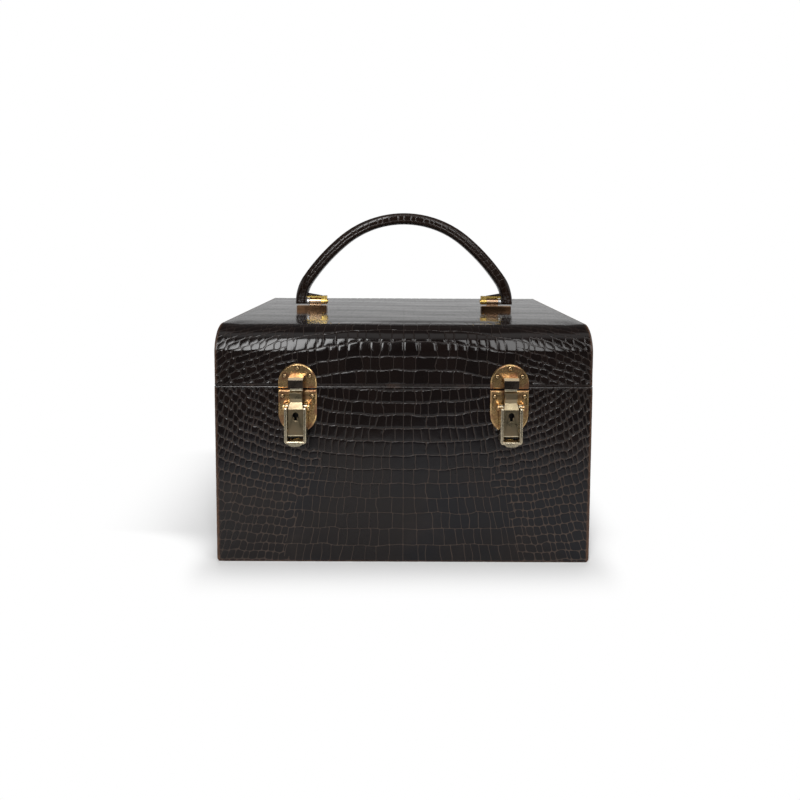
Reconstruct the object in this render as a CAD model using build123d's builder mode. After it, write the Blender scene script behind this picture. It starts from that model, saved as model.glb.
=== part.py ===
from build123d import *
from math import cos, radians, sin
import os

# Vanity case: a leather-covered box with a hinged lid, two key latches, a folding handle,
# a mirror in the lid and a lift-out tray. Millimetres, +Z up, the latches face -Y.
# The origin is the centre of the bottom face.

os.makedirs("parts", exist_ok=True)

# Case
case_width = 305.0
case_depth = 230.0
case_height = 194.0
lid_height = 48.0
lid_gap = 0.4  # between the two rims when the lid is shut
lid_side_inset = 0.3  # the lid is this much narrower than the body at each side
leather = 1.5
body_board = 5.5
lid_board = 5.0
lining = 1.5
binding_height = 1.3
edge_round = 1.0
bottom_corner_radius = 3.0
lid_front_radius = 22.0
lid_back_radius = 6.0
lid_inner_round = 2.0

# Inside the body
lip_height = 4.5  # of the lining above the rim
lip_inset = 0.3
lip_round = 0.4
lip_clearance = 2.5  # from the lip up to the lid's lining
floor_pad_thick = 4.0
floor_pad_round = 1.5
tray_height = 32.0
tray_wall = 3.0
tray_round = 2.0
tray_clearance = 0.8
tray_rest_gap = 0.2
tray_below_rim = 4.0
tray_front_row = 88.0  # front to back
tray_front_cells = 3
ledge_height = 6.0
ledge_width = 5.0
ledge_length = 180.0
tab_width = 18.0
tab_thick = 1.0
tab_drop = 18.0
tab_rise = 3.0
tab_round = 4.0
tab_off_divider = 3.0

# Mirror
mirror_width = 198.0
mirror_depth = 138.0
mirror_thick = 2.5
mirror_backing_thick = 2.5
mirror_frame_side = 8.0
mirror_frame_overlap = 4.0
mirror_frame_lip = 1.6
mirror_frame_round = 1.2

# Hinges
hinge_spacing = 170.0
hinge_length = 42.0
hinge_leaf_thick = 1.2
hinge_leaf_height = 14.0
hinge_leaf_round = 2.0
hinge_knuckle = 5.0  # outer diameter
hinge_pin_diameter = 2.6
hinge_stand_off = 0.2  # knuckle to the back leather
knuckle_gap = 0.3
knuckle_relief = 0.5
shaft_clearance = 0.05  # radial, at every turning pin

# Rivets
rivet_head = 3.0
rivet_dome = 0.8
rivet_round = 0.7
rivet_shank = 1.8
rivet_grip = 4.0  # length in the board

# Latch plates, with rivets placed from each plate's own centre line
latch_spacing = 170.6
latch_width = 31.0
latch_plate = 1.5
latch_plate_edge = 0.9
latch_plate_gap = 1.3
strike_overhang = 1.5  # the strike plate hangs this far below the split
strike_relief = 0.3  # behind that overhang
strike_height = 19.9
strike_rivet_half_step = 10.0
strike_rivet_rise = 10.2
strike_rivet_below_top = 3.4
latch_base_height = 35.4
base_rivet_half_step = 12.0
base_rivet_below_top = 4.8
base_rivet_above_foot = 5.0

# Hood on the strike, which the hasp's nose enters from below
hood_width = 11.8
hood_reach = 10.0  # from the case to the hood's front
hood_height = 8.6
hood_above_split = 0.3
hood_wall = 1.8
hood_lip = 2.1
hood_bevel = 2.0
catch_depth = 0.5
catch_height = 1.0
hook_clearance = 0.3
hook_headroom = 3.5  # room for the nose to rise as the lever opens

# Hasp
hasp_width = 10.0
nose_thick = 1.9
nose_neck = 0.5
nose_above_catch = 0.3
strap_reach = 8.6
strap_top_drop = 7.0  # nose top to the strap's front face
strap_top_slope = 1.3
strap_band = 4.7
strap_waist = 1.0
face_width = 12.0
face_reach = 10.5
face_thick = 2.0
face_shoulder_rise = 4.0  # shoulder above the lever pivot
face_shoulder_drop = 0.8
face_foot_bevel = 0.7
hasp_arm = 4.0  # lever pivot down to the hasp pivot
hasp_lug_radius = 2.4
hasp_lug_width = 2.6
hasp_pin_diameter = 1.8
keyhole_radius = 2.4
keyhole_slot = 2.2
keyhole_height = 7.0
keyhole_drop = 5.5  # lever pivot down to the keyhole's round
keyhole_depth = 2.5  # into the lock case

# Lever
pivot_drop = 15.3  # lever pivot below the split
pivot_reach = 6.0
lever_width = 17.5
lever_rail = 2.5
lever_reach = 13.0
lever_back = 3.5
lever_length = 28.2  # pivot to the bottom of the cross bar
lever_shoulder = 1.2
lever_shoulder_round = 1.5
lever_top_radius = 2.6
lever_corner_round = 2.5  # lower corners
lever_front_round = 0.8  # along the front edges of the rails and bar
lever_bar = 2.25
lever_bar_gap = 3.15  # hasp's foot to the cross bar
tongue_half_width = 5.2
tongue_drop = 1.8
tongue_thick = 2.2
lever_pin_diameter = 2.4
lever_pin_head = 3.6
lever_pin_head_thick = 0.5
ear_thick = 1.5
ear_gap = 0.25
ear_radius = 3.0
pin_end_gap = 0.1

# Lock behind the hasp's face
lock_case_width = 6.0
lock_case_depth = 4.5
lock_case_height = 19.0
lock_case_above_foot = 1.5
bolt_width = 3.6
bolt_thick = 2.4
bolt_length = 9.0
bolt_slack = 0.1
bolt_above_foot = 0.3
bolt_from_face = 1.2
bolt_pocket = 1.6
bolt_pocket_slack = 0.2

# Handle: three arcs a side, from the crown down to the foot
handle_rise = 89.8  # centre line above the lid
crown_radius = 92.8
crown_angle = 39.7  # from the middle to the end of the crown arc
flank_radius = 190.0
flank_angle = 16.1
foot_radius = 38.3
handle_thick = 11.0
handle_width = 15.0
handle_strip = 1.2
handle_strip_width = 10.0
handle_outer_round = 4.6
handle_inner_round = 1.5
core_thick = 2.0
core_width = 4.6

# Handle fittings
pivot_above_lid = 8.3
foot_below_pivot = 2.6
foot_width = 6.8
foot_straight = 5.0
foot_taper = 16.0
pin_diameter = 2.5
pin_head = 4.0
pin_head_thick = 0.8
base_height = 4.5
base_width = 8.0
base_edge = 0.9
base_past_leg = 3.9
stud_diameter = 3.0
stud_inset = 5.0
nut_flats = 5.5
nut_height = 2.4
nut_recess_diameter = 8.0
nut_recess = 3.0
barrel_diameter = 6.6
barrel_length = 11.2
barrel_post = 4.0
spacer_diameter = 5.9
spacer_length = 2.6
side_play = 0.2
yoke_knuckle = 5.8
yoke_knuckle_length = 5.5
yoke_strip_thick = 2.0
yoke_strip_rise = 3.5
yoke_strip_width = 5.0
yoke_pad_rise = 3.7
yoke_pad_toe_rise = 0.4

# Places that follow from the sizes
half_width = case_width / 2
half_depth = case_depth / 2
split_z = case_height - lid_height
lid_z = split_z + lid_gap
body_rim_z = split_z - binding_height
lid_rim_z = lid_z + binding_height
lid_half_width = half_width - lid_side_inset
lid_wall = leather + lid_board
floor_z = leather + body_board
cavity_half_x = half_width - leather - body_board
cavity_half_y = half_depth - leather - body_board
room_half_x = cavity_half_x - lining
room_half_y = cavity_half_y - lining
lid_lining_z = split_z + lip_height + lip_clearance
ceiling_z = case_height - lid_wall - lining

front_plane = Plane.XZ.offset(half_depth)
back_plane = Plane.XZ.offset(-half_depth)
on_floor = (Align.CENTER, Align.CENTER, Align.MIN)
hanging = (Align.CENTER, Align.CENTER, Align.MAX)
sides = ("left", "right")


def finish(piece, name):
    """Label a finished piece and write it to a file of its own."""
    piece.part.label = name
    export_step(piece.part, f"parts/{name}.step")


def panel(skin, low, high):
    """The part of a skin that lies between two corners."""
    middle = tuple((a + b) / 2 for a, b in zip(low, high))
    sizes = tuple(b - a for a, b in zip(low, high))
    with BuildPart() as piece:
        add(skin.part)
        with Locations(middle):
            Box(*sizes, mode=Mode.INTERSECT)
    return piece


def bore(piece, plane, points, diameter, depth):
    """A piece with blind holes sunk from a plane, against the plane's normal."""
    with BuildPart() as bored:
        add(piece.part)
        with BuildSketch(plane):
            with Locations(*points):
                Circle(diameter / 2)
        extrude(amount=-depth, mode=Mode.SUBTRACT)
    return bored


def rivets(points, y, tilt, length):
    """Domed rivets at (x, z) points of a wall at y, turned about X by tilt degrees."""
    with BuildPart() as rivet:
        Cylinder(rivet_head / 2, rivet_dome, align=on_floor)
        fillet(rivet.edges().group_by(Axis.Z)[-1], rivet_round)
        Cylinder(rivet_shank / 2, length, align=hanging)
    with BuildPart() as group:
        with Locations(*[Location((x, y, z), (tilt, 0, 0)) for x, z in points]):
            add(rivet.part)
    return group


def side_view(x):
    """The plane across a latch at x: its own x is the reach from the case, its y is height."""
    return Plane(origin=(x, -half_depth, 0), x_dir=(0, -1, 0), z_dir=(-1, 0, 0))


# Hinge places
hinge_centres = (-hinge_spacing / 2, hinge_spacing / 2)
hinge_y = half_depth + hinge_stand_off + hinge_knuckle / 2
hinge_z = split_z + lid_gap / 2
hinge_rivet_step = hinge_length / 2 - rivet_head - hinge_leaf_round
hinge_rivet_rise = hinge_leaf_height - rivet_head - hinge_leaf_round / 2
hinge_rivet_columns = [
    x + dx for x in hinge_centres for dx in (-hinge_rivet_step, 0, hinge_rivet_step)
]
hinge_body_points = [(x, hinge_z - hinge_rivet_rise) for x in hinge_rivet_columns]
hinge_lid_points = [(x, hinge_z + hinge_rivet_rise) for x in hinge_rivet_columns]

# Latch places
latch_centres = (-latch_spacing / 2, latch_spacing / 2)
latch_end_radius = latch_width / 2
strike_z = split_z - strike_overhang
strike_top_z = strike_z + strike_height
base_top_z = strike_z - latch_plate_gap
base_foot_z = base_top_z - latch_base_height
pivot_z = split_z - pivot_drop
hasp_pivot_z = pivot_z - hasp_arm
bar_foot_z = pivot_z - lever_length
bar_top_z = bar_foot_z + lever_bar
hasp_foot_z = bar_top_z + lever_bar_gap
hood_z = split_z + hood_above_split
hood_top_z = hood_z + hood_height
rail_inner = lever_width / 2 - lever_rail
strike_points = [
    (x + dx, z)
    for x in latch_centres
    for dx, z in (
        (0, strike_top_z - strike_rivet_below_top),
        (-strike_rivet_half_step, strike_z + strike_rivet_rise),
        (strike_rivet_half_step, strike_z + strike_rivet_rise),
    )
]
base_points = [
    (x + dx, z)
    for x in latch_centres
    for dx, z in (
        (0, base_foot_z + base_rivet_above_foot),
        (-base_rivet_half_step, base_top_z - base_rivet_below_top),
        (base_rivet_half_step, base_top_z - base_rivet_below_top),
    )
]
rivet_depth = leather + rivet_grip

# Handle places
crown = radians(crown_angle)
shoulder = radians(crown_angle + flank_angle)
leg_x = (
    crown_radius * sin(crown)
    + flank_radius * (sin(shoulder) - sin(crown))
    + foot_radius * (1 - sin(shoulder))
)
handle_top_z = case_height + handle_rise
leg_straight_z = handle_top_z - (
    crown_radius * (1 - cos(crown))
    + flank_radius * (cos(crown) - cos(shoulder))
    + foot_radius * cos(shoulder)
)
handle_pivot_z = case_height + pivot_above_lid
leg_foot_z = handle_pivot_z - foot_below_pivot
leg_inner_x = leg_x - handle_thick / 2
spacer_x = leg_inner_x - 2 * side_play - spacer_length / 2
barrel_x = spacer_x - spacer_length / 2 - side_play - barrel_length / 2
yoke_x = barrel_x - barrel_length / 2 - side_play - yoke_knuckle_length / 2
base_inner_x = yoke_x - yoke_knuckle_length / 2
base_outer_x = leg_x + base_past_leg
base_x = (base_inner_x + base_outer_x) / 2
base_length = base_outer_x - base_inner_x
stud_x = (base_inner_x + stud_inset, base_outer_x - stud_inset)
stud_points = [(side * x, 0) for side in (-1, 1) for x in stud_x]

# Body carcass: floor and four walls of board
with BuildPart() as body_carcass:
    with Locations((0, 0, leather)):
        Box(
            case_width - 2 * leather,
            case_depth - 2 * leather,
            body_rim_z - leather,
            align=on_floor,
        )
    with Locations((0, 0, floor_z)):
        Box(
            2 * cavity_half_x, 2 * cavity_half_y, case_height, align=on_floor, mode=Mode.SUBTRACT
        )
body_carcass = bore(body_carcass, front_plane, base_points, rivet_shank, rivet_depth)
body_carcass = bore(body_carcass, back_plane, hinge_body_points, rivet_shank, -rivet_depth)
finish(body_carcass, "body_carcass")

# Outer form of the body, which the leather and the rim binding are cut from
with BuildPart() as body_form:
    Box(case_width, case_depth, split_z, align=on_floor)
    fillet(body_form.edges().filter_by(Axis.Y).group_by(Axis.Z)[0], bottom_corner_radius)
    outline = body_form.faces().filter_by(Axis.Y).edges()
    top_sides = body_form.edges().filter_by(Axis.Y).group_by(Axis.Z)[-1]
    fillet(outline + top_sides, edge_round)

with BuildPart() as body_skin:
    add(body_form.part)
    with Locations((0, 0, leather)):
        Box(
            case_width - 2 * leather,
            case_depth - 2 * leather,
            case_height,
            align=on_floor,
            mode=Mode.SUBTRACT,
        )

side_x = half_width - leather
front_y = half_depth - leather
body_leather_left = panel(
    body_skin, (-half_width, -half_depth, 0), (-side_x, half_depth, body_rim_z)
)
finish(body_leather_left, "body_leather_left")
body_leather_right = panel(
    body_skin, (side_x, -half_depth, 0), (half_width, half_depth, body_rim_z)
)
finish(body_leather_right, "body_leather_right")
body_leather_front = panel(
    body_skin, (-side_x, -half_depth, 0), (side_x, -front_y, body_rim_z)
)
body_leather_front = bore(
    body_leather_front, front_plane, base_points, rivet_shank, rivet_depth
)
finish(body_leather_front, "body_leather_front")
body_leather_back = panel(body_skin, (-side_x, front_y, 0), (side_x, half_depth, body_rim_z))
body_leather_back = bore(
    body_leather_back, back_plane, hinge_body_points, rivet_shank, -rivet_depth
)
finish(body_leather_back, "body_leather_back")
body_leather_bottom = panel(body_skin, (-side_x, -front_y, 0), (side_x, front_y, leather))
finish(body_leather_bottom, "body_leather_bottom")

# Binding over the top of the walls
with BuildPart() as body_ring:
    add(body_form.part)
    Box(2 * cavity_half_x, 2 * cavity_half_y, 2 * case_height, mode=Mode.SUBTRACT)
body_rim_binding = panel(
    body_ring, (-half_width, -half_depth, body_rim_z), (half_width, half_depth, split_z)
)
finish(body_rim_binding, "body_rim_binding")

# Lining of the walls, whose lip stands above the rim and guides the lid
with BuildPart() as body_lining_walls:
    with Locations((0, 0, floor_z)):
        Box(2 * cavity_half_x, 2 * cavity_half_y, split_z - floor_z, align=on_floor)
    with Locations((0, 0, split_z)):
        Box(
            2 * (cavity_half_x - lip_inset),
            2 * (cavity_half_y - lip_inset),
            lip_height,
            align=on_floor,
        )
    Box(2 * room_half_x, 2 * room_half_y, 3 * case_height, mode=Mode.SUBTRACT)
    fillet(body_lining_walls.edges().group_by(Axis.Z)[-1], lip_round)
finish(body_lining_walls, "body_lining_walls")

# Padded bottom
with BuildPart() as body_floor_pad:
    with Locations((0, 0, floor_z)):
        Box(2 * room_half_x, 2 * room_half_y, floor_pad_thick, align=on_floor)
    fillet(body_floor_pad.edges().group_by(Axis.Z)[-1], floor_pad_round)
finish(body_floor_pad, "body_floor_pad")

# Ledges that the tray rests on
tray_top_z = split_z - tray_below_rim
tray_z = tray_top_z - tray_height
with BuildPart() as tray_ledges:
    ledge_x = room_half_x - ledge_width / 2
    with Locations(
        (-ledge_x, 0, tray_z - tray_rest_gap),
        (ledge_x, 0, tray_z - tray_rest_gap),
    ):
        Box(ledge_width, ledge_length, ledge_height, align=hanging)
finish(tray_ledges, "tray_ledges")

# Tray: one long compartment behind a row of cells
tray_half_x = room_half_x - tray_clearance
tray_half_y = room_half_y - tray_clearance
row_front_y = tray_wall - tray_half_y
row_back_y = row_front_y + tray_front_row
long_front_y = row_back_y + tray_wall
long_back_y = tray_half_y - tray_wall
tray_inner_x = tray_half_x - tray_wall
cell_width = (2 * tray_inner_x - (tray_front_cells - 1) * tray_wall) / tray_front_cells
cell_centres = [
    (i - (tray_front_cells - 1) / 2) * (cell_width + tray_wall) for i in range(tray_front_cells)
]
with BuildPart() as tray:
    with Locations((0, 0, tray_z)):
        Box(2 * tray_half_x, 2 * tray_half_y, tray_height, align=on_floor)
    fillet(tray.edges().filter_by(Axis.Z), tray_round)
    with BuildSketch(Plane.XY.offset(tray_z + tray_wall)):
        with Locations((0, (long_front_y + long_back_y) / 2)):
            Rectangle(2 * tray_inner_x, long_back_y - long_front_y)
        with Locations(*[(x, (row_front_y + row_back_y) / 2) for x in cell_centres]):
            Rectangle(cell_width, tray_front_row)
    extrude(amount=tray_height, mode=Mode.SUBTRACT)
finish(tray, "tray")

# Ribbon tabs for lifting the tray
with BuildPart() as tray_tabs:
    tab_x = tray_inner_x - tab_thick / 2
    tab_y = long_front_y + tab_off_divider + tab_width / 2
    with Locations(
        (-tab_x, tab_y, tray_top_z - tab_drop),
        (tab_x, tab_y, tray_top_z - tab_drop),
    ):
        Box(tab_thick, tab_width, tab_drop + tab_rise, align=on_floor)
    fillet(tray_tabs.edges().filter_by(Axis.X).group_by(Axis.Z)[-1], tab_round)
finish(tray_tabs, "tray_tabs")


def lid_block(inset, back_round, low_z):
    """The lid's outer form drawn in by an inset, standing on low_z and filled."""
    height = case_height - inset - low_z
    with BuildPart() as block:
        with BuildSketch(Plane.YZ) as section:
            with Locations((0, low_z + height / 2)):
                Rectangle(2 * (half_depth - inset), height)
            front_corner = section.vertices().group_by(Axis.Y)[-1].sort_by(Axis.X)[0]
            fillet(front_corner, lid_front_radius - inset)
            back_corner = section.vertices().group_by(Axis.Y)[-1].sort_by(Axis.X)[-1]
            fillet(back_corner, back_round)
        extrude(amount=lid_half_width - inset, both=True)
    return block


# Lid: forms of its leather, board and lining, one inside the other
with BuildPart() as lid_form:
    add(lid_block(0, lid_back_radius, lid_z).part)
    side_edges = lid_form.faces().filter_by(Axis.X).edges()
    fillet(side_edges - side_edges.filter_by(Axis.Y).group_by(Axis.Z)[0], edge_round)
lid_board_form = lid_block(leather, lid_back_radius - leather, lid_z)
lid_cavity_form = lid_block(lid_wall, lid_inner_round, lid_z)

with BuildPart() as lid_skin:
    add(lid_form.part)
    add(lid_board_form.part, mode=Mode.SUBTRACT)

lid_side_x = lid_half_width - leather
lid_leather_left = panel(
    lid_skin, (-lid_half_width, -half_depth, lid_rim_z), (-lid_side_x, half_depth, case_height)
)
finish(lid_leather_left, "lid_leather_left")
lid_leather_right = panel(
    lid_skin, (lid_side_x, -half_depth, lid_rim_z), (lid_half_width, half_depth, case_height)
)
finish(lid_leather_right, "lid_leather_right")

# One panel of leather runs up the front, over the rolled edge and the top, and down the back
stud_plane = Plane.XY.offset(case_height)
lid_leather_wrap = panel(
    lid_skin, (-lid_side_x, -half_depth, lid_rim_z), (lid_side_x, half_depth, case_height)
)
lid_leather_wrap = bore(
    lid_leather_wrap, front_plane, strike_points, rivet_shank, rivet_depth
)
lid_leather_wrap = bore(
    lid_leather_wrap, back_plane, hinge_lid_points, rivet_shank, -rivet_depth
)
lid_leather_wrap = bore(lid_leather_wrap, stud_plane, stud_points, stud_diameter, lid_wall)
finish(lid_leather_wrap, "lid_leather_wrap")

with BuildPart() as lid_ring:
    add(lid_form.part)
    add(lid_cavity_form.part, mode=Mode.SUBTRACT)
lid_rim_binding = panel(
    lid_ring, (-lid_half_width, -half_depth, lid_z), (lid_half_width, half_depth, lid_rim_z)
)
finish(lid_rim_binding, "lid_rim_binding")

with BuildPart() as lid_carcass:
    add(lid_block(leather, lid_back_radius - leather, lid_rim_z).part)
    add(lid_cavity_form.part, mode=Mode.SUBTRACT)
    with BuildSketch(Plane.XY.offset(case_height - lid_wall)):
        with Locations(*stud_points):
            Circle(nut_recess_diameter / 2)
    extrude(amount=nut_recess, mode=Mode.SUBTRACT)
lid_carcass = bore(lid_carcass, front_plane, strike_points, rivet_shank, rivet_depth)
lid_carcass = bore(lid_carcass, back_plane, hinge_lid_points, rivet_shank, -rivet_depth)
lid_carcass = bore(lid_carcass, stud_plane, stud_points, stud_diameter, lid_wall)
finish(lid_carcass, "lid_carcass")

with BuildPart() as lid_lining:
    add(lid_block(lid_wall, lid_inner_round, lid_lining_z).part)
    add(
        lid_block(lid_wall + lining, lid_inner_round, lid_lining_z).part,
        mode=Mode.SUBTRACT,
    )
finish(lid_lining, "lid_lining")

# Mirror under the lid's ceiling, in its padded frame
mirror_face_z = ceiling_z - mirror_backing_thick - mirror_thick
frame_growth = 2 * (mirror_frame_side - mirror_frame_overlap)
with BuildPart() as mirror_backing:
    with Locations((0, 0, ceiling_z)):
        Box(mirror_width, mirror_depth, mirror_backing_thick, align=hanging)
finish(mirror_backing, "mirror_backing")

with BuildPart() as mirror_glass:
    with Locations((0, 0, mirror_face_z)):
        Box(mirror_width, mirror_depth, mirror_thick, align=on_floor)
finish(mirror_glass, "mirror_glass")

with BuildPart() as mirror_frame:
    frame_height = ceiling_z - mirror_face_z + mirror_frame_lip
    with Locations((0, 0, ceiling_z)):
        Box(
            mirror_width + frame_growth,
            mirror_depth + frame_growth,
            frame_height,
            align=hanging,
        )
    fillet(mirror_frame.edges().group_by(Axis.Z)[0], mirror_frame_round)
    with Locations((0, 0, mirror_face_z)):
        Box(mirror_width, mirror_depth, case_height, align=on_floor, mode=Mode.SUBTRACT)
        Box(
            mirror_width - 2 * mirror_frame_overlap,
            mirror_depth - 2 * mirror_frame_overlap,
            case_height,
            mode=Mode.SUBTRACT,
        )
finish(mirror_frame, "mirror_frame")


def hinge_leaf(x, on_lid):
    """One leaf of a hinge at x, with its own knuckles and room for the other leaf's."""
    knuckle_length = (hinge_length - 2 * knuckle_gap) / 3
    knuckle_step = knuckle_length + knuckle_gap
    up = 1 if on_lid else -1
    own = (0,) if on_lid else (-knuckle_step, knuckle_step)
    other = (-knuckle_step, knuckle_step) if on_lid else (0,)
    bore_diameter = hinge_pin_diameter + (2 * shaft_clearance if on_lid else 0)
    rivet_points = hinge_lid_points if on_lid else hinge_body_points
    with BuildPart() as leaf:
        with BuildSketch(back_plane) as outline:
            with Locations((x, hinge_z + up * hinge_leaf_height / 2)):
                Rectangle(hinge_length, hinge_leaf_height)
            far_corners = outline.vertices().group_by(Axis.Y)[-1 if on_lid else 0]
            fillet(far_corners, hinge_leaf_round)
        extrude(amount=-hinge_leaf_thick)
        relief = hinge_knuckle / 2 + knuckle_relief
        with Locations(*[(x + dx, hinge_y, hinge_z) for dx in other]):
            Box(
                knuckle_length + 2 * knuckle_gap,
                2 * (hinge_knuckle + hinge_leaf_thick),
                2 * relief,
                mode=Mode.SUBTRACT,
            )
        for dx in own:
            with BuildSketch(Plane.YZ.offset(x + dx)):
                with Locations((hinge_y, hinge_z)):
                    Circle(hinge_knuckle / 2)
            extrude(amount=knuckle_length / 2, both=True)
        with BuildSketch(Plane.YZ.offset(x)):
            with Locations((hinge_y, hinge_z)):
                Circle(bore_diameter / 2)
        extrude(amount=hinge_length, both=True, mode=Mode.SUBTRACT)
        with BuildSketch(back_plane):
            with Locations(*rivet_points):
                Circle(rivet_shank / 2)
        extrude(amount=-2 * hinge_leaf_thick, mode=Mode.SUBTRACT)
    return leaf


for side, hinge_x in zip(sides, hinge_centres):
    finish(hinge_leaf(hinge_x, False), f"hinge_body_leaf_{side}")
    finish(hinge_leaf(hinge_x, True), f"hinge_lid_leaf_{side}")
    with BuildPart() as hinge_pin:
        with BuildSketch(Plane.YZ.offset(hinge_x)):
            with Locations((hinge_y, hinge_z)):
                Circle(hinge_pin_diameter / 2)
        extrude(amount=hinge_length / 2, both=True)
    finish(hinge_pin, f"hinge_pin_{side}")

hinge_rivet_y = half_depth + hinge_leaf_thick
hinge_rivet_length = hinge_leaf_thick + rivet_depth
finish(rivets(hinge_body_points, hinge_rivet_y, -90, hinge_rivet_length), "hinge_rivets_body")
finish(rivets(hinge_lid_points, hinge_rivet_y, -90, hinge_rivet_length), "hinge_rivets_lid")

latch_rivet_y = -half_depth - latch_plate
latch_rivet_length = latch_plate + rivet_depth
finish(rivets(base_points, latch_rivet_y, 90, latch_rivet_length), "latch_rivets")
finish(rivets(strike_points, latch_rivet_y, 90, latch_rivet_length), "strike_rivets")

# Lines of the hood and hasp, as reaches from the case and heights
lip_inner = hood_reach - hood_lip
hood_roof_z = hood_top_z - hood_wall
nose_front = lip_inner - catch_depth - hook_clearance
nose_back = nose_front - nose_thick
nose_top_z = hood_roof_z - hook_headroom
barb_z = hood_z + catch_height + nose_above_catch
strap_top_z = nose_top_z - strap_top_drop
band_foot_z = strap_top_z - strap_band
shoulder_z = pivot_z + face_shoulder_rise
face_top_z = pivot_z - face_shoulder_drop
face_back = face_reach - face_thick
hood_line = (
    (latch_plate, hood_top_z),
    (hood_reach - hood_bevel, hood_top_z),
    (hood_reach, hood_top_z - hood_bevel),
    (hood_reach, hood_z),
    (lip_inner - catch_depth, hood_z),
    (lip_inner - catch_depth, hood_z + catch_height),
    (lip_inner, hood_z + catch_height),
    (lip_inner, hood_roof_z),
    (latch_plate, hood_roof_z),
)
strap_line = (
    (nose_back, nose_top_z),
    (nose_front, nose_top_z),
    (nose_front, barb_z),
    (nose_front - nose_neck, barb_z),
    (nose_front - nose_neck, strap_top_z + strap_top_slope),
    (strap_reach, strap_top_z),
    (strap_reach, band_foot_z),
    (strap_reach - strap_waist, shoulder_z),
    (nose_back, shoulder_z),
)
face_line = (
    (nose_back, shoulder_z),
    (strap_reach - strap_waist, shoulder_z),
    (face_reach, face_top_z),
    (face_reach, hasp_foot_z + face_foot_bevel),
    (face_reach - face_foot_bevel, hasp_foot_z),
    (face_back, hasp_foot_z),
    (face_back, face_top_z),
    (nose_back, shoulder_z - face_thick),
)


def keyhole(x, reach, depth):
    """The keyhole's form at x, sunk by a depth from a reach off the case."""
    with BuildPart() as form:
        with BuildSketch(Plane.XZ.offset(half_depth + reach)):
            with Locations((x, pivot_z - keyhole_drop)):
                Circle(keyhole_radius)
                Rectangle(
                    keyhole_slot, keyhole_height - keyhole_radius, align=(Align.CENTER, Align.MAX)
                )
        extrude(amount=-depth)
    return form


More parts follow.
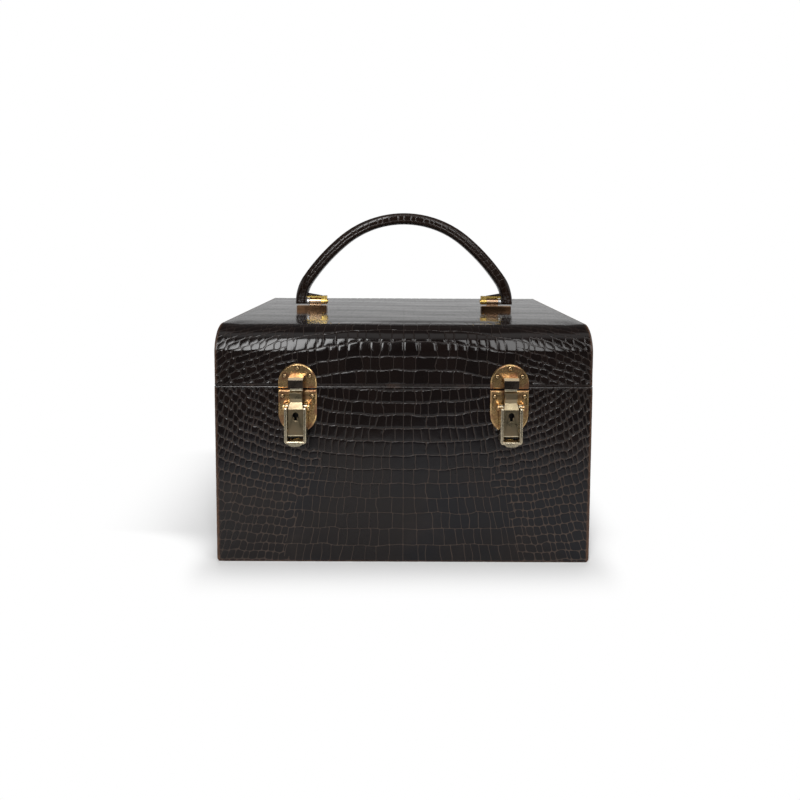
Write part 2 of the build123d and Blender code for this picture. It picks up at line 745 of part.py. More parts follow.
for side, latch_x in zip(sides, latch_centres):
    view = side_view(latch_x)

    # Strike plate on the lid, with the hood that takes the hasp's nose
    with BuildPart() as latch_strike:
        with BuildSketch(front_plane):
            end_z = strike_top_z - latch_end_radius
            with Locations((latch_x, end_z)):
                Circle(latch_end_radius)
            with Locations((latch_x, strike_z)):
                Rectangle(
                    latch_width, strike_height, align=(Align.CENTER, Align.MAX), mode=Mode.SUBTRACT
                )
                Rectangle(latch_width, end_z - strike_z, align=(Align.CENTER, Align.MIN))
        extrude(amount=latch_plate)
        chamfer(latch_strike.faces().sort_by(Axis.Y)[0].edges(), latch_plate_edge)
        with Locations((latch_x, -half_depth, (strike_z + lid_z) / 2)):
            Box(2 * latch_width, 2 * strike_relief, lid_z - strike_z, mode=Mode.SUBTRACT)
        with BuildSketch(view):
            with BuildLine():
                Polyline(*hood_line, close=True)
            make_face()
        extrude(amount=hood_width / 2, both=True)
        with BuildSketch(front_plane):
            with Locations(*strike_points):
                Circle(rivet_shank / 2)
        extrude(amount=2 * latch_plate, mode=Mode.SUBTRACT)
    finish(latch_strike, f"latch_strike_{side}")

    # Base plate on the body, with two ears for the lever
    ear_x = lever_width / 2 + ear_gap + ear_thick / 2
    with BuildPart() as latch_base:
        with BuildSketch(front_plane):
            end_z = base_foot_z + latch_end_radius
            with Locations((latch_x, end_z)):
                Circle(latch_end_radius)
                Rectangle(latch_width, base_top_z - end_z, align=(Align.CENTER, Align.MIN))
        extrude(amount=latch_plate)
        chamfer(latch_base.faces().sort_by(Axis.Y)[0].edges(), latch_plate_edge)
        for dx in (-ear_x, ear_x):
            with BuildSketch(side_view(latch_x + dx)):
                with Locations((pivot_reach, pivot_z)):
                    Circle(ear_radius)
                    Rectangle(
                        pivot_reach - latch_plate / 2, 2 * ear_radius, align=(Align.MAX, Align.CENTER)
                    )
            extrude(amount=ear_thick / 2, both=True)
        with BuildSketch(view):
            with Locations((pivot_reach, pivot_z)):
                Circle(lever_pin_diameter / 2)
        extrude(amount=latch_width, both=True, mode=Mode.SUBTRACT)
        with BuildSketch(front_plane):
            with Locations(*base_points):
                Circle(rivet_shank / 2)
        extrude(amount=2 * latch_plate, mode=Mode.SUBTRACT)
    finish(latch_base, f"latch_base_{side}")

    # Lever pins: one through each ear into the lever's rail
    ear_outer = ear_x + ear_thick / 2
    pin_inner = rail_inner + pin_end_gap
    with BuildPart() as lever_pins:
        for way in (-1, 1):
            with BuildSketch(side_view(latch_x + way * pin_inner)):
                with Locations((pivot_reach, pivot_z)):
                    Circle(lever_pin_diameter / 2)
            extrude(amount=-way * (ear_outer - pin_inner))
            with BuildSketch(side_view(latch_x + way * ear_outer)):
                with Locations((pivot_reach, pivot_z)):
                    Circle(lever_pin_head / 2)
            extrude(amount=-way * lever_pin_head_thick)
    finish(lever_pins, f"lever_pins_{side}")

    # Lever: an open frame of two rails and a cross bar with a thumb tongue
    rail_top_z = pivot_z + lever_shoulder
    with BuildPart() as lever:
        with BuildSketch(view) as rail:
            with Locations((lever_back, bar_foot_z)):
                Rectangle(
                    lever_reach - lever_back, rail_top_z - bar_foot_z, align=(Align.MIN, Align.MIN)
                )
            outer_corner = rail.vertices().group_by(Axis.Y)[-1].sort_by(Axis.X)[-1]
            fillet(outer_corner, lever_shoulder_round)
            with Locations((pivot_reach, pivot_z)):
                Circle(lever_top_radius)
        extrude(amount=lever_width / 2, both=True)
        with Locations((latch_x, -half_depth, bar_top_z)):
            Box(
                2 * rail_inner, 4 * lever_reach, 2 * lever_length, align=on_floor, mode=Mode.SUBTRACT
            )
        fillet(lever.edges().filter_by(Axis.Y).group_by(Axis.Z)[0], lever_corner_round)
        with BuildSketch(Plane.XZ.offset(half_depth + lever_reach)):
            with Locations((latch_x, bar_foot_z)):
                Ellipse(tongue_half_width, tongue_drop)
                Rectangle(
                    2 * tongue_half_width,
                    tongue_drop,
                    align=(Align.CENTER, Align.MIN),
                    mode=Mode.SUBTRACT,
                )
        extrude(amount=-tongue_thick)
        front_edges = lever.faces().sort_by(Axis.Y)[0].edges()
        straight_edges = front_edges.filter_by(Axis.Z) + front_edges.filter_by(Axis.X)
        fillet(straight_edges, lever_front_round)
        with BuildSketch(view):
            with Locations((pivot_reach, pivot_z)):
                Circle(lever_pin_diameter / 2 + shaft_clearance)
            with Locations((pivot_reach, hasp_pivot_z)):
                Circle(hasp_pin_diameter / 2)
        extrude(amount=lever_width, both=True, mode=Mode.SUBTRACT)
        bolt_middle = face_back - bolt_from_face - bolt_thick / 2
        with Locations((latch_x, -half_depth - bolt_middle, bar_top_z)):
            Box(
                bolt_width + 2 * bolt_pocket_slack,
                bolt_thick + 2 * bolt_pocket_slack,
                2 * bolt_pocket,
                mode=Mode.SUBTRACT,
            )
    finish(lever, f"lever_{side}")

    # Hasp pins: one through each rail into the hasp's lug
    lug_inner = face_width / 2 - hasp_lug_width
    with BuildPart() as hasp_pins:
        for way in (-1, 1):
            with BuildSketch(side_view(latch_x + way * lug_inner)):
                with Locations((pivot_reach, hasp_pivot_z)):
                    Circle(hasp_pin_diameter / 2)
            extrude(amount=-way * (lever_width / 2 - lug_inner))
    finish(hasp_pins, f"hasp_pins_{side}")

    # Hasp: nose, strap and face with the keyhole, on two lugs behind the face
    with BuildPart() as hasp:
        with BuildSketch(view):
            with BuildLine():
                Polyline(*strap_line, close=True)
            make_face()
        extrude(amount=hasp_width / 2, both=True)
        with BuildSketch(view):
            with BuildLine():
                Polyline(*face_line, close=True)
            make_face()
        extrude(amount=face_width / 2, both=True)
        with BuildSketch(front_plane):
            for way in (-1, 1):
                with BuildLine():
                    Polyline(
                        (latch_x + way * face_width / 2, face_top_z),
                        (latch_x + way * hasp_width / 2, shoulder_z),
                        (latch_x + way * face_width, shoulder_z),
                        close=True,
                    )
                make_face()
        extrude(amount=2 * face_reach, mode=Mode.SUBTRACT)
        for way in (-1, 1):
            with BuildSketch(side_view(latch_x + way * lug_inner)):
                with Locations((pivot_reach, hasp_pivot_z)):
                    Circle(hasp_lug_radius)
                    Rectangle(
                        face_reach - face_thick / 2 - pivot_reach,
                        2 * hasp_lug_radius,
                        align=(Align.MIN, Align.CENTER),
                    )
            extrude(amount=-way * hasp_lug_width)
        with BuildSketch(view):
            with Locations((pivot_reach, hasp_pivot_z)):
                Circle(hasp_pin_diameter / 2 + shaft_clearance)
        extrude(amount=face_width, both=True, mode=Mode.SUBTRACT)
        add(keyhole(latch_x, face_reach, 2 * face_thick).part, mode=Mode.SUBTRACT)
    finish(hasp, f"hasp_{side}")

    # Lock case behind the face, open below for its bolt
    lock_case_z = hasp_foot_z + lock_case_above_foot
    bolt_z = hasp_foot_z + bolt_above_foot
    with BuildPart() as lock_case:
        with Locations((latch_x, -half_depth - face_back + lock_case_depth / 2, lock_case_z)):
            Box(lock_case_width, lock_case_depth, lock_case_height, align=on_floor)
        add(keyhole(latch_x, face_back, keyhole_depth).part, mode=Mode.SUBTRACT)
        with Locations((latch_x, -half_depth - bolt_middle, bolt_z)):
            Box(
                bolt_width + 2 * bolt_slack,
                bolt_thick + 2 * bolt_slack,
                bolt_length + bolt_slack,
                align=on_floor,
                mode=Mode.SUBTRACT,
            )
    finish(lock_case, f"lock_case_{side}")

    with BuildPart() as lock_bolt:
        with Locations((latch_x, -half_depth - bolt_middle, bolt_z)):
            Box(bolt_width, bolt_thick, bolt_length, align=on_floor)
        chamfer(lock_bolt.edges().group_by(Axis.Z)[0], bolt_slack)
    finish(lock_bolt, f"lock_bolt_{side}")

# Handle: centre line through tangent arcs, foot to foot
foot_angle = 90 - crown_angle - flank_angle
with BuildLine(Plane.XZ) as handle_line:
    rise = Line((-leg_x, leg_foot_z), (-leg_x, leg_straight_z))
    left_foot = JernArc(rise @ 1, rise % 1, foot_radius, -foot_angle)
    left_flank = JernArc(left_foot @ 1, left_foot % 1, flank_radius, -flank_angle)
    crown_arc = JernArc(left_flank @ 1, left_flank % 1, crown_radius, -2 * crown_angle)
    right_flank = JernArc(crown_arc @ 1, crown_arc % 1, flank_radius, -flank_angle)
    right_foot = JernArc(right_flank @ 1, right_flank % 1, foot_radius, -foot_angle)
    Line(right_foot @ 1, (leg_x, leg_foot_z))

foot_plane = Plane(origin=(-leg_x, 0, leg_foot_z), x_dir=(1, 0, 0), z_dir=(0, 0, 1))
cover_thick = handle_thick - handle_strip

# Side view that narrows the handle towards its feet
with BuildPart() as foot_form:
    taper_z = handle_pivot_z + foot_straight
    wide_z = taper_z + foot_taper
    top_z = handle_top_z + handle_thick
    with BuildSketch(Plane.YZ):
        with BuildLine():
            Polyline(
                (foot_width / 2, handle_pivot_z),
                (foot_width / 2, taper_z),
                (handle_width / 2, wide_z),
                (handle_width / 2, top_z),
                (-handle_width / 2, top_z),
                (-handle_width / 2, wide_z),
                (-foot_width / 2, taper_z),
                (-foot_width / 2, handle_pivot_z),
                close=True,
            )
        make_face()
        with Locations((0, handle_pivot_z)):
            Circle(foot_width / 2)
    extrude(amount=leg_x + handle_thick, both=True)

with BuildPart() as core_form:
    with BuildSketch(foot_plane):
        Rectangle(core_thick, core_width)
    sweep(path=handle_line.line)

with BuildPart() as strip_form:
    with BuildSketch(foot_plane):
        with Locations((handle_thick / 2 - handle_strip / 2, 0)):
            Rectangle(handle_strip, handle_strip_width)
    sweep(path=handle_line.line)

with BuildPart() as cover_form:
    with BuildSketch(foot_plane) as cover_section:
        with Locations((-handle_strip / 2, 0)):
            Rectangle(cover_thick, handle_width)
        outer = cover_section.vertices().group_by(Axis.X)[0]
        fillet(outer, handle_outer_round)
        inner = cover_section.vertices().group_by(Axis.X)[-1]
        fillet(inner, handle_inner_round)
    sweep(path=handle_line.line)
    add(foot_form.part, mode=Mode.INTERSECT)

# Slots for the yoke strips, the leather pads above them and the bores for the pins
strip_low_z = handle_pivot_z + yoke_strip_rise
strip_top_z = strip_low_z + yoke_strip_thick
strip_inner_x = yoke_x - yoke_knuckle_length / 2
strip_outer_x = leg_x - core_thick / 2
pad_inner_x = strip_inner_x + yoke_knuckle_length
with BuildPart() as strip_slots:
    for way in (-1, 1):
        with Locations((way * (strip_inner_x + strip_outer_x) / 2, 0, strip_low_z)):
            Box(
                strip_outer_x - strip_inner_x, yoke_strip_width, yoke_strip_thick, align=on_floor
            )

with BuildPart() as pad_form:
    for way in (-1, 1):
        with BuildSketch(Plane.XZ):
            with BuildLine():
                Polyline(
                    (way * strip_outer_x, strip_top_z),
                    (way * pad_inner_x, strip_top_z),
                    (way * pad_inner_x, strip_top_z + yoke_pad_toe_rise),
                    (way * strip_outer_x, strip_top_z + yoke_pad_rise),
                    close=True,
                )
            make_face()
        extrude(amount=yoke_strip_width / 2, both=True)

with BuildPart() as pin_bores:
    pin_outer_x = leg_x + core_thick
    for way in (-1, 1):
        with BuildSketch(Plane.YZ.offset(way * spacer_x)):
            with Locations((0, handle_pivot_z)):
                Circle(pin_diameter / 2)
        extrude(amount=way * (pin_outer_x - spacer_x))

with BuildPart() as handle_core:
    add(core_form.part)
    add(foot_form.part, mode=Mode.INTERSECT)
    add(pin_bores.part, mode=Mode.SUBTRACT)
finish(handle_core, "handle_core")

with BuildPart() as handle_lining:
    add(strip_form.part)
    add(foot_form.part, mode=Mode.INTERSECT)
    add(pad_form.part, mode=Mode.SUBTRACT)
    add(strip_slots.part, mode=Mode.SUBTRACT)
    add(pin_bores.part, mode=Mode.SUBTRACT)
finish(handle_lining, "handle_lining")

with BuildPart() as handle_cover:
    add(cover_form.part)
    add(strip_form.part, mode=Mode.SUBTRACT)
    add(pad_form.part)
    add(core_form.part, mode=Mode.SUBTRACT)
    add(strip_slots.part, mode=Mode.SUBTRACT)
    add(pin_bores.part, mode=Mode.SUBTRACT)
finish(handle_cover, "handle_cover")

with BuildPart() as handle_spacers:
    for way in (-1, 1):
        with BuildSketch(Plane.YZ.offset(way * spacer_x)):
            with Locations((0, handle_pivot_z)):
                Circle(spacer_diameter / 2)
                Circle(pin_diameter / 2, mode=Mode.SUBTRACT)
        extrude(amount=spacer_length / 2, both=True)
finish(handle_spacers, "handle_spacers")

for side, way in zip(sides, (-1, 1)):
    # Yoke: a knuckle on the pin and a strip back to the handle's steel core
    with BuildPart() as handle_yoke:
        with BuildSketch(Plane.YZ.offset(way * yoke_x)):
            with Locations((0, handle_pivot_z)):
                Circle(yoke_knuckle / 2)
                Rectangle(
                    yoke_strip_width,
                    yoke_strip_rise + yoke_strip_thick,
                    align=(Align.CENTER, Align.MIN),
                )
        extrude(amount=yoke_knuckle_length / 2, both=True)
        with Locations((way * (strip_inner_x + strip_outer_x) / 2, 0, strip_low_z)):
            Box(
                strip_outer_x - strip_inner_x, yoke_strip_width, yoke_strip_thick, align=on_floor
            )
        add(core_form.part, mode=Mode.SUBTRACT)
        with BuildSketch(Plane.YZ.offset(way * yoke_x)):
            with Locations((0, handle_pivot_z)):
                Circle(pin_diameter / 2)
        extrude(amount=yoke_knuckle_length, both=True, mode=Mode.SUBTRACT)
    finish(handle_yoke, f"handle_yoke_{side}")

    with BuildPart() as handle_pin:
        with BuildSketch(Plane.YZ.offset(way * base_inner_x)):
            with Locations((0, handle_pivot_z)):
                Circle(pin_diameter / 2)
        extrude(amount=way * (pin_outer_x - base_inner_x))
        with BuildSketch(Plane.YZ.offset(way * base_inner_x)):
            with Locations((0, handle_pivot_z)):
                Circle(pin_head / 2)
        extrude(amount=-way * pin_head_thick)
    finish(handle_pin, f"handle_pin_{side}")

    # Base on the lid: block, post and barrel, held by two studs
    with BuildPart() as handle_base:
        with Locations((way * base_x, 0, case_height)):
            Box(base_length, base_width, base_height, align=on_floor)
        chamfer(handle_base.edges().group_by(Axis.Z)[-1], base_edge)
        with BuildSketch(Plane.YZ.offset(way * barrel_x)):
            with Locations((0, handle_pivot_z)):
                Circle(barrel_diameter / 2)
                Rectangle(
                    barrel_post, pivot_above_lid - base_height / 2, align=(Align.CENTER, Align.MAX)
                )
        extrude(amount=barrel_length / 2, both=True)
        with BuildSketch(Plane.YZ.offset(way * barrel_x)):
            with Locations((0, handle_pivot_z)):
                Circle(pin_diameter / 2 + shaft_clearance)
        extrude(amount=barrel_length, both=True, mode=Mode.SUBTRACT)
        with BuildSketch(Plane.XY.offset(case_height)):
            with Locations(*[(way * x, 0) for x in stud_x]):
                Circle(stud_diameter / 2)
        extrude(amount=-(lid_wall - nut_recess + nut_height))
    finish(handle_base, f"handle_base_{side}")

with BuildPart() as handle_base_nuts:
    with BuildSketch(Plane.XY.offset(case_height - lid_wall + nut_recess)):
        with Locations(*stud_points):
            RegularPolygon(nut_flats / 2, 6, major_radius=False)
            Circle(stud_diameter / 2, mode=Mode.SUBTRACT)
    extrude(amount=-nut_height)
finish(handle_base_nuts, "handle_base_nuts")
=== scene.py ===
"""Looks of a leather-covered vanity case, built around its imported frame.

Every mesh is in metres in the frame's own axes: +Z is up and the latches face -Y.
The sizes in the classes below are in millimetres and are scaled once, by MM.
"""

from __future__ import annotations

import logging
import math
from dataclasses import dataclass, fields
from enum import Enum
from typing import NamedTuple, Sequence, Union

import bpy
import numpy as np
from mathutils import Matrix, Vector

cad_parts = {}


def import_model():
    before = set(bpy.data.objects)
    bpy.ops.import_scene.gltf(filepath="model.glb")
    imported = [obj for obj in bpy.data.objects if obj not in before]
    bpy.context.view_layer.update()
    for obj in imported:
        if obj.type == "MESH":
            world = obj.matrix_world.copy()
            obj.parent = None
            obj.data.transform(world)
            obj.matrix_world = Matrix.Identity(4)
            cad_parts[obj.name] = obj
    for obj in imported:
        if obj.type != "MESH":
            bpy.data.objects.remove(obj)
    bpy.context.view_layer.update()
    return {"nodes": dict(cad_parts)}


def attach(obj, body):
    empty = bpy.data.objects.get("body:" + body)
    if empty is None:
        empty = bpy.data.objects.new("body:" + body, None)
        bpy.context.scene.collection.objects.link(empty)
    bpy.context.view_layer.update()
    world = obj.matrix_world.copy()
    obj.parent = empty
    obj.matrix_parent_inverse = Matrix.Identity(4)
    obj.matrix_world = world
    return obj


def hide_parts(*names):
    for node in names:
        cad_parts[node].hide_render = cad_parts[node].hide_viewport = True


MM = 0.001
SIDES = ("left", "right")
HALF_DEPTH = 115.0
LEATHER = 1.5
LATCH_X = 85.3
# How far from a panel's edge the grooves are at full depth
EDGE_FADE = 1.2
# A flank column that no hide reaches, so that it has belly scales only
NO_FLANK = 99.0
Colour = tuple[float, float, float]
log = logging.getLogger("vanity_case")


class Hide(str, Enum):
    """Names of the mesh attributes that say how the hide lies."""

    PLACE = "hide_place"
    PITCH = "hide_pitch"
    WEAR = "hide_wear"
    SATIN = "hide_satin"
    LIFT = "hide_lift"


@dataclass(frozen=True)
class Flow:
    """What flows out of a node, with the sums that it can go into."""

    sheet: NodeSheet
    socket: bpy.types.NodeSocket

    def __add__(self, other: Wire) -> Flow:
        """Return the sum of the two."""
        return self.sheet.math("ADD", self, other)

    def __sub__(self, other: Wire) -> Flow:
        """Return this less the other."""
        return self.sheet.math("SUBTRACT", self, other)

    def __rsub__(self, other: float) -> Flow:
        """Return the other less this."""
        return self.sheet.math("SUBTRACT", other, self)

    def __mul__(self, other: Wire) -> Flow:
        """Return the product of the two."""
        return self.sheet.math("MULTIPLY", self, other)

    def __abs__(self) -> Flow:
        """Return this without its sign."""
        return self.sheet.math("ABSOLUTE", self)

    def centred(self, size: Wire) -> Flow:
        """Return a value from 0 to 1 as one from minus half a size to half of it."""
        return (self - 0.5) * size

    def ramp(self, low: Wire, high: Wire, start: float = 0.0, end: float = 1.0) -> Flow:
        """Ease from start to end as the value goes from low to high.

        Args:
            low: Where it leaves start.
            high: Where it reaches end.
            start: The result below low.
            end: The result above high.

        Returns:
            The eased value.
        """
        feeds = dict(enumerate((self, low, high, start, end)))
        return self.sheet.read("ShaderNodeMapRange", feeds, interpolation_type="SMOOTHSTEP")


Wire = Union[float, Sequence[float], Flow]
Key = Union[int, str]


class NodeSheet:
    """Adds nodes to one tree and wires them."""

    def __init__(self, tree: bpy.types.NodeTree) -> None:
        """Keep the tree that the nodes go into."""
        self.tree = tree

    @classmethod
    def cleared(cls, holder: Union[bpy.types.Material, bpy.types.World]) -> NodeSheet:
        """Return the sheet of a material or world, with no node left on it."""
        holder.use_nodes = True
        holder.node_tree.nodes.clear()
        return cls(holder.node_tree)

    def feed(self, node: bpy.types.Node, feeds: dict[Key, Wire]) -> None:
        """Wire a node's sockets from other nodes, or write constants on them."""
        for name, value in feeds.items():
            if isinstance(value, Flow):
                self.tree.links.new(value.socket, node.inputs[name])
            else:
                node.inputs[name].default_value = value

    def add(self, kind: str, feeds: dict[Key, Wire], **settings: object) -> bpy.types.Node:
        """Add a node.

        Args:
            kind: The node's type name.
            feeds: What goes into its sockets, by their names or places.
            settings: Properties to set on it first.

        Returns:
            The new node.
        """
        node = self.tree.nodes.new(kind)
        for name, value in settings.items():
            setattr(node, name, value)
        self.feed(node, feeds)
        return node

    def read(self, kind: str, feeds: dict[Key, Wire], out: Key = 0, **settings: object) -> Flow:
        """Add a node and return one of its outputs.

        Args:
            kind: The node's type name.
            feeds: What goes into its sockets.
            out: The output's name or place.
            settings: Properties to set on it first.

        Returns:
            What flows out of it.
        """
        return Flow(self, self.add(kind, feeds, **settings).outputs[out])

    def math(self, operation: str, *terms: Wire) -> Flow:
        """Return the result of an operation on its terms."""
        return self.read("ShaderNodeMath", dict(enumerate(terms)), operation=operation)

    def split(self, vector: Flow) -> tuple[Flow, ...]:
        """Return a vector's three parts."""
        return tuple(Flow(self, part) for part in self.add("ShaderNodeSeparateXYZ", {0: vector}).outputs)

    def join(self, x: Wire, y: Wire, z: Wire = 0.0) -> Flow:
        """Return a vector made of three parts."""
        return self.read("ShaderNodeCombineXYZ", {0: x, 1: y, 2: z})

    def chance(self, x: Wire, y: Wire) -> Flow:
        """Return a number from 0 to 1 that belongs to the pair x, y."""
        pair = {"Vector": self.join(x, y)}
        return self.read("ShaderNodeTexWhiteNoise", pair, "Value", noise_dimensions="2D")

    def noise(self, vector: Wire, scale: float, detail: float = 2.0, rough: float = 0.5) -> Flow:
        """Return cloudy noise.

        Args:
            vector: Where it is read.
            scale: How fine it is.
            detail: How many octaves it has.
            rough: How strong the finer octaves are.

        Returns:
            The noise, from 0 to 1.
        """
        feeds = {"Vector": vector, "Scale": scale, "Detail": detail, "Roughness": rough}
        return self.read("ShaderNodeTexNoise", feeds, "Fac")

    def blend(self, factor: Wire, first: Wire, second: Wire) -> Flow:
        """Return a number between two others."""
        return self.read("ShaderNodeMix", {0: factor, 2: first, 3: second}, data_type="FLOAT")

    def tint(self, factor: Wire, first: Wire, second: Wire) -> Flow:
        """Return a colour between two others."""
        first, second = ((*term, 1.0) if isinstance(term, tuple) else term for term in (first, second))
        return self.read("ShaderNodeMix", {0: factor, 6: first, 7: second}, 2, data_type="RGBA")


class ScaleFlows(NamedTuple):
    """What the scale field gives at a point."""

    edge: Flow
    tone: Flow
    depth: Flow


@dataclass(frozen=True)
class ScaleField:
    """The crocodile's scales, worked out from where the hide lies.

    The place vector holds a point's column and row, and the column where the small flank
    scales begin. The pitch vector holds a scale's width and height in millimetres, and
    how deep its grooves are, from 0 to 1.
    """

    row_wave: float = 0.5
    column_slip: float = 0.9
    column_sway: float = 0.9
    belly_jitter: float = 0.42
    flank_jitter: float = 0.5
    flank_shift: float = 0.3
    flank_fringe: float = 2.6
    belly_corner: float = 1.5
    flank_corner: float = 3.0

    def gap(self, sheet: NodeSheet, place: Flow, row: Flow, jitter: float) -> tuple[Flow, Flow, Flow]:
        """Find the nearest column edge in a row.

        Args:
            sheet: Where the nodes go.
            place: Columns from the centre line.
            row: The row's number.
            jitter: How far an edge strays from its even place.

        Returns:
            The distance to the edge in columns, the edge's number and the scale's column.
        """
        edge = sheet.math("ROUND", place)
        stray = sheet.chance(edge, row).centred(jitter) * sheet.math("MINIMUM", abs(edge), 1.0)
        true_edge = edge + stray
        return abs(place - true_edge), edge, edge - sheet.math("LESS_THAN", place, true_edge)

    def grow(self, sheet: NodeSheet, place: Flow, pitch: Flow) -> ScaleFlows:
        """Add the nodes of the field.

        Args:
            sheet: Where the nodes go.
            place: The place vector.
            pitch: The pitch vector.

        Returns:
            The distance to the nearest groove in millimetres, a number of the scale's own
            and the groove's depth.
        """
        across, along, flank = sheet.split(place)
        wide, high, depth = sheet.split(pitch)
        from_centre = abs(across)
        drift = sheet.noise(sheet.join(across * 0.7, along), 0.55)
        lengthwise = along + drift.centred(self.row_wave)
        row = sheet.math("FLOOR", lengthwise)
        row_gap = abs(lengthwise - sheet.math("ROUND", lengthwise)) * high

        slip = sheet.chance(row, 7.0).centred(self.column_slip) * from_centre.ramp(0.7, 3.0)
        sway = sheet.noise(sheet.join(across, along * 0.8, 4.0), 0.6)
        even = across + sway.centred(self.column_sway) * from_centre.ramp(0.2, 1.6)
        column_gap, edge, column = self.gap(sheet, even + slip, row, self.belly_jitter)
        column_gap = column_gap * wide
        belly = sheet.math("SMOOTH_MIN", column_gap, row_gap, self.belly_corner)

        doubled = lengthwise * 2.0
        small_row = sheet.math("FLOOR", doubled)
        small_gap = abs(doubled - sheet.math("ROUND", doubled)) * 0.5 * high
        shift = sheet.math("FLOORED_MODULO", small_row, 2.0) * 0.5
        shift = shift + sheet.chance(small_row, 11.0).centred(self.flank_shift)
        small_apart, _, small_column = self.gap(sheet, even + shift, small_row + 0.37, self.flank_jitter)
        flank_edge = sheet.math("SMOOTH_MIN", small_apart * wide, small_gap, self.flank_corner)

        middle = abs(column + 0.5)
        reach = middle + sheet.chance(row, 3.0).centred(self.flank_fringe)
        on_flank = sheet.math("GREATER_THAN", reach, flank)
        first = sheet.math("LESS_THAN", reach - 1.0, flank)
        inner = sheet.math("LESS_THAN", abs(edge), middle)
        flank_edge = sheet.blend(first * inner, flank_edge, sheet.math("MINIMUM", flank_edge, column_gap))
        tone = sheet.blend(on_flank, sheet.chance(column, row), sheet.chance(small_column, small_row))
        return ScaleFlows(sheet.blend(on_flank, belly, flank_edge), tone, depth)


@dataclass(frozen=True)
class Finish:
    """A surface: its name and the colours that its nodes start from."""

    name: str
    base: Colour

    def material(self) -> bpy.types.Material:
        """Make the finish's material, once.

        Returns:
            The material.
        """
        found = bpy.data.materials.get(self.name)
        if found is not None:
            return found
        made = bpy.data.materials.new(self.name)
        made.diffuse_color = (*self.base, 1.0)
        sheet = NodeSheet.cleared(made)
        surface = sheet.add("ShaderNodeBsdfPrincipled", {})
        sheet.add("ShaderNodeOutputMaterial", {"Surface": Flow(sheet, surface.outputs[0])})
        self.dress(sheet, surface)
        return made

    def dress(self, sheet: NodeSheet, surface: bpy.types.Node) -> None:
        """Wire the surface; each finish has its own way.

        Args:
            sheet: Where the nodes go.
            surface: The shader that they feed.
        """
        raise NotImplementedError

    def darkened(self, share: float) -> Colour:
        """Return the base colour at a share of its brightness."""
        return tuple(share * channel for channel in self.base)

    @staticmethod
    def place(sheet: NodeSheet) -> Flow:
        """Return the point on the object, in metres."""
        return sheet.read("ShaderNodeTexCoord", {}, "Object")

    @staticmethod
    def relief(sheet: NodeSheet, surface: bpy.types.Node, height: Flow, deep: float) -> None:
        """Give the surface fine relief.

        Args:
            sheet: Where the nodes go.
            surface: The shader that takes it.
            height: The relief, from 0 to 1.
            deep: Its full depth in metres.
        """
        bump = sheet.read("ShaderNodeBump", {"Strength": 1.0, "Distance": deep, "Height": height}, "Normal")
        sheet.feed(surface, {"Normal": bump})


@dataclass(frozen=True)
class CrocodileLeather(Finish):
    """Glazed crocodile: dark scales, with browner grooves where the glaze has gone satin."""

    lift: Colour = (0.0078, 0.0046, 0.0038)
    rested: Colour = (0.0080, 0.0058, 0.0056)
    cool: Colour = (0.0046, 0.0044, 0.0062)
    groove: Colour = (0.054, 0.038, 0.030)
    glazed_groove_and_glint: Colour = (0.020, 0.0135, 0.0110)
    worn: Colour = (0.13, 0.060, 0.030)
    groove_half: float = 0.32
    relief_depth: float = 0.00027
    gloss: float = 0.35

    def dress(self, sheet: NodeSheet, surface: bpy.types.Node) -> None:
        """Wire scales, grooves, pores and wear."""
        place, pitch, wear, satin = (
            sheet.read("ShaderNodeAttribute", {}, out, attribute_name=name.value)
            for name, out in (
                (Hide.PLACE, "Vector"), (Hide.PITCH, "Vector"), (Hide.WEAR, "Fac"), (Hide.SATIN, "Fac")
            )
        )
        scales = ScaleField().grow(sheet, place, pitch)
        point = self.place(sheet)
        cloud = sheet.noise(point, 26.0, 4.0, 0.6)
        patch = sheet.noise(point, 9.0, 3.0, 0.6)
        grain = sheet.noise(point, 1500.0, 2.0, 0.7)
        crease = sheet.noise(point, 420.0, 3.0, 0.65)

        plate = sheet.tint(scales.tone.ramp(0.1, 1.0), self.base, self.lift)
        plate = sheet.tint(satin, plate, self.rested)
        plate = sheet.tint(patch.ramp(0.45, 0.62) * satin, plate, self.cool)
        plate = sheet.tint(cloud.ramp(0.5, 0.85, 0.0, 0.20) * satin, plate, self.groove)
        line = scales.edge.ramp(0.08, self.groove_half, 1.0, 0.0)
        line = line * patch.ramp(0.25, 0.62, 0.5, 1.0) * scales.depth.ramp(0.03, 0.25, 0.2, 1.0)
        # groove colour: brown where satin; where glazed, lighter than the scales, partly a real groove tone
        # and partly a painted highlight for glints on the groove walls
        colour = sheet.tint(line, plate, sheet.tint(satin, self.glazed_groove_and_glint, self.groove))
        rubbed = wear * crease.ramp(0.35, 0.65, 0.3, 1.0)
        colour = sheet.tint(rubbed, colour, self.worn)
        rough = satin.ramp(0.1, 0.9, 0.085, 0.27) + patch.ramp(0.35, 0.7, 0.0, 0.05)
        rough = rough + line * 0.28 + rubbed * 0.3
        sheet.feed(surface, {"Base Color": colour, "Roughness": rough, "Specular IOR Level": self.gloss})

        dome = scales.edge.ramp(0.0, scales.depth.ramp(0.1, 0.9, 0.45, 0.70))
        swell = scales.edge.ramp(0.4, 4.5) * 0.06
        height = (dome + swell) * scales.depth.ramp(0.0, 1.0, 0.15, 1.0)
        self.relief(sheet, surface, height + crease * 0.02 + grain * 0.005, self.relief_depth)


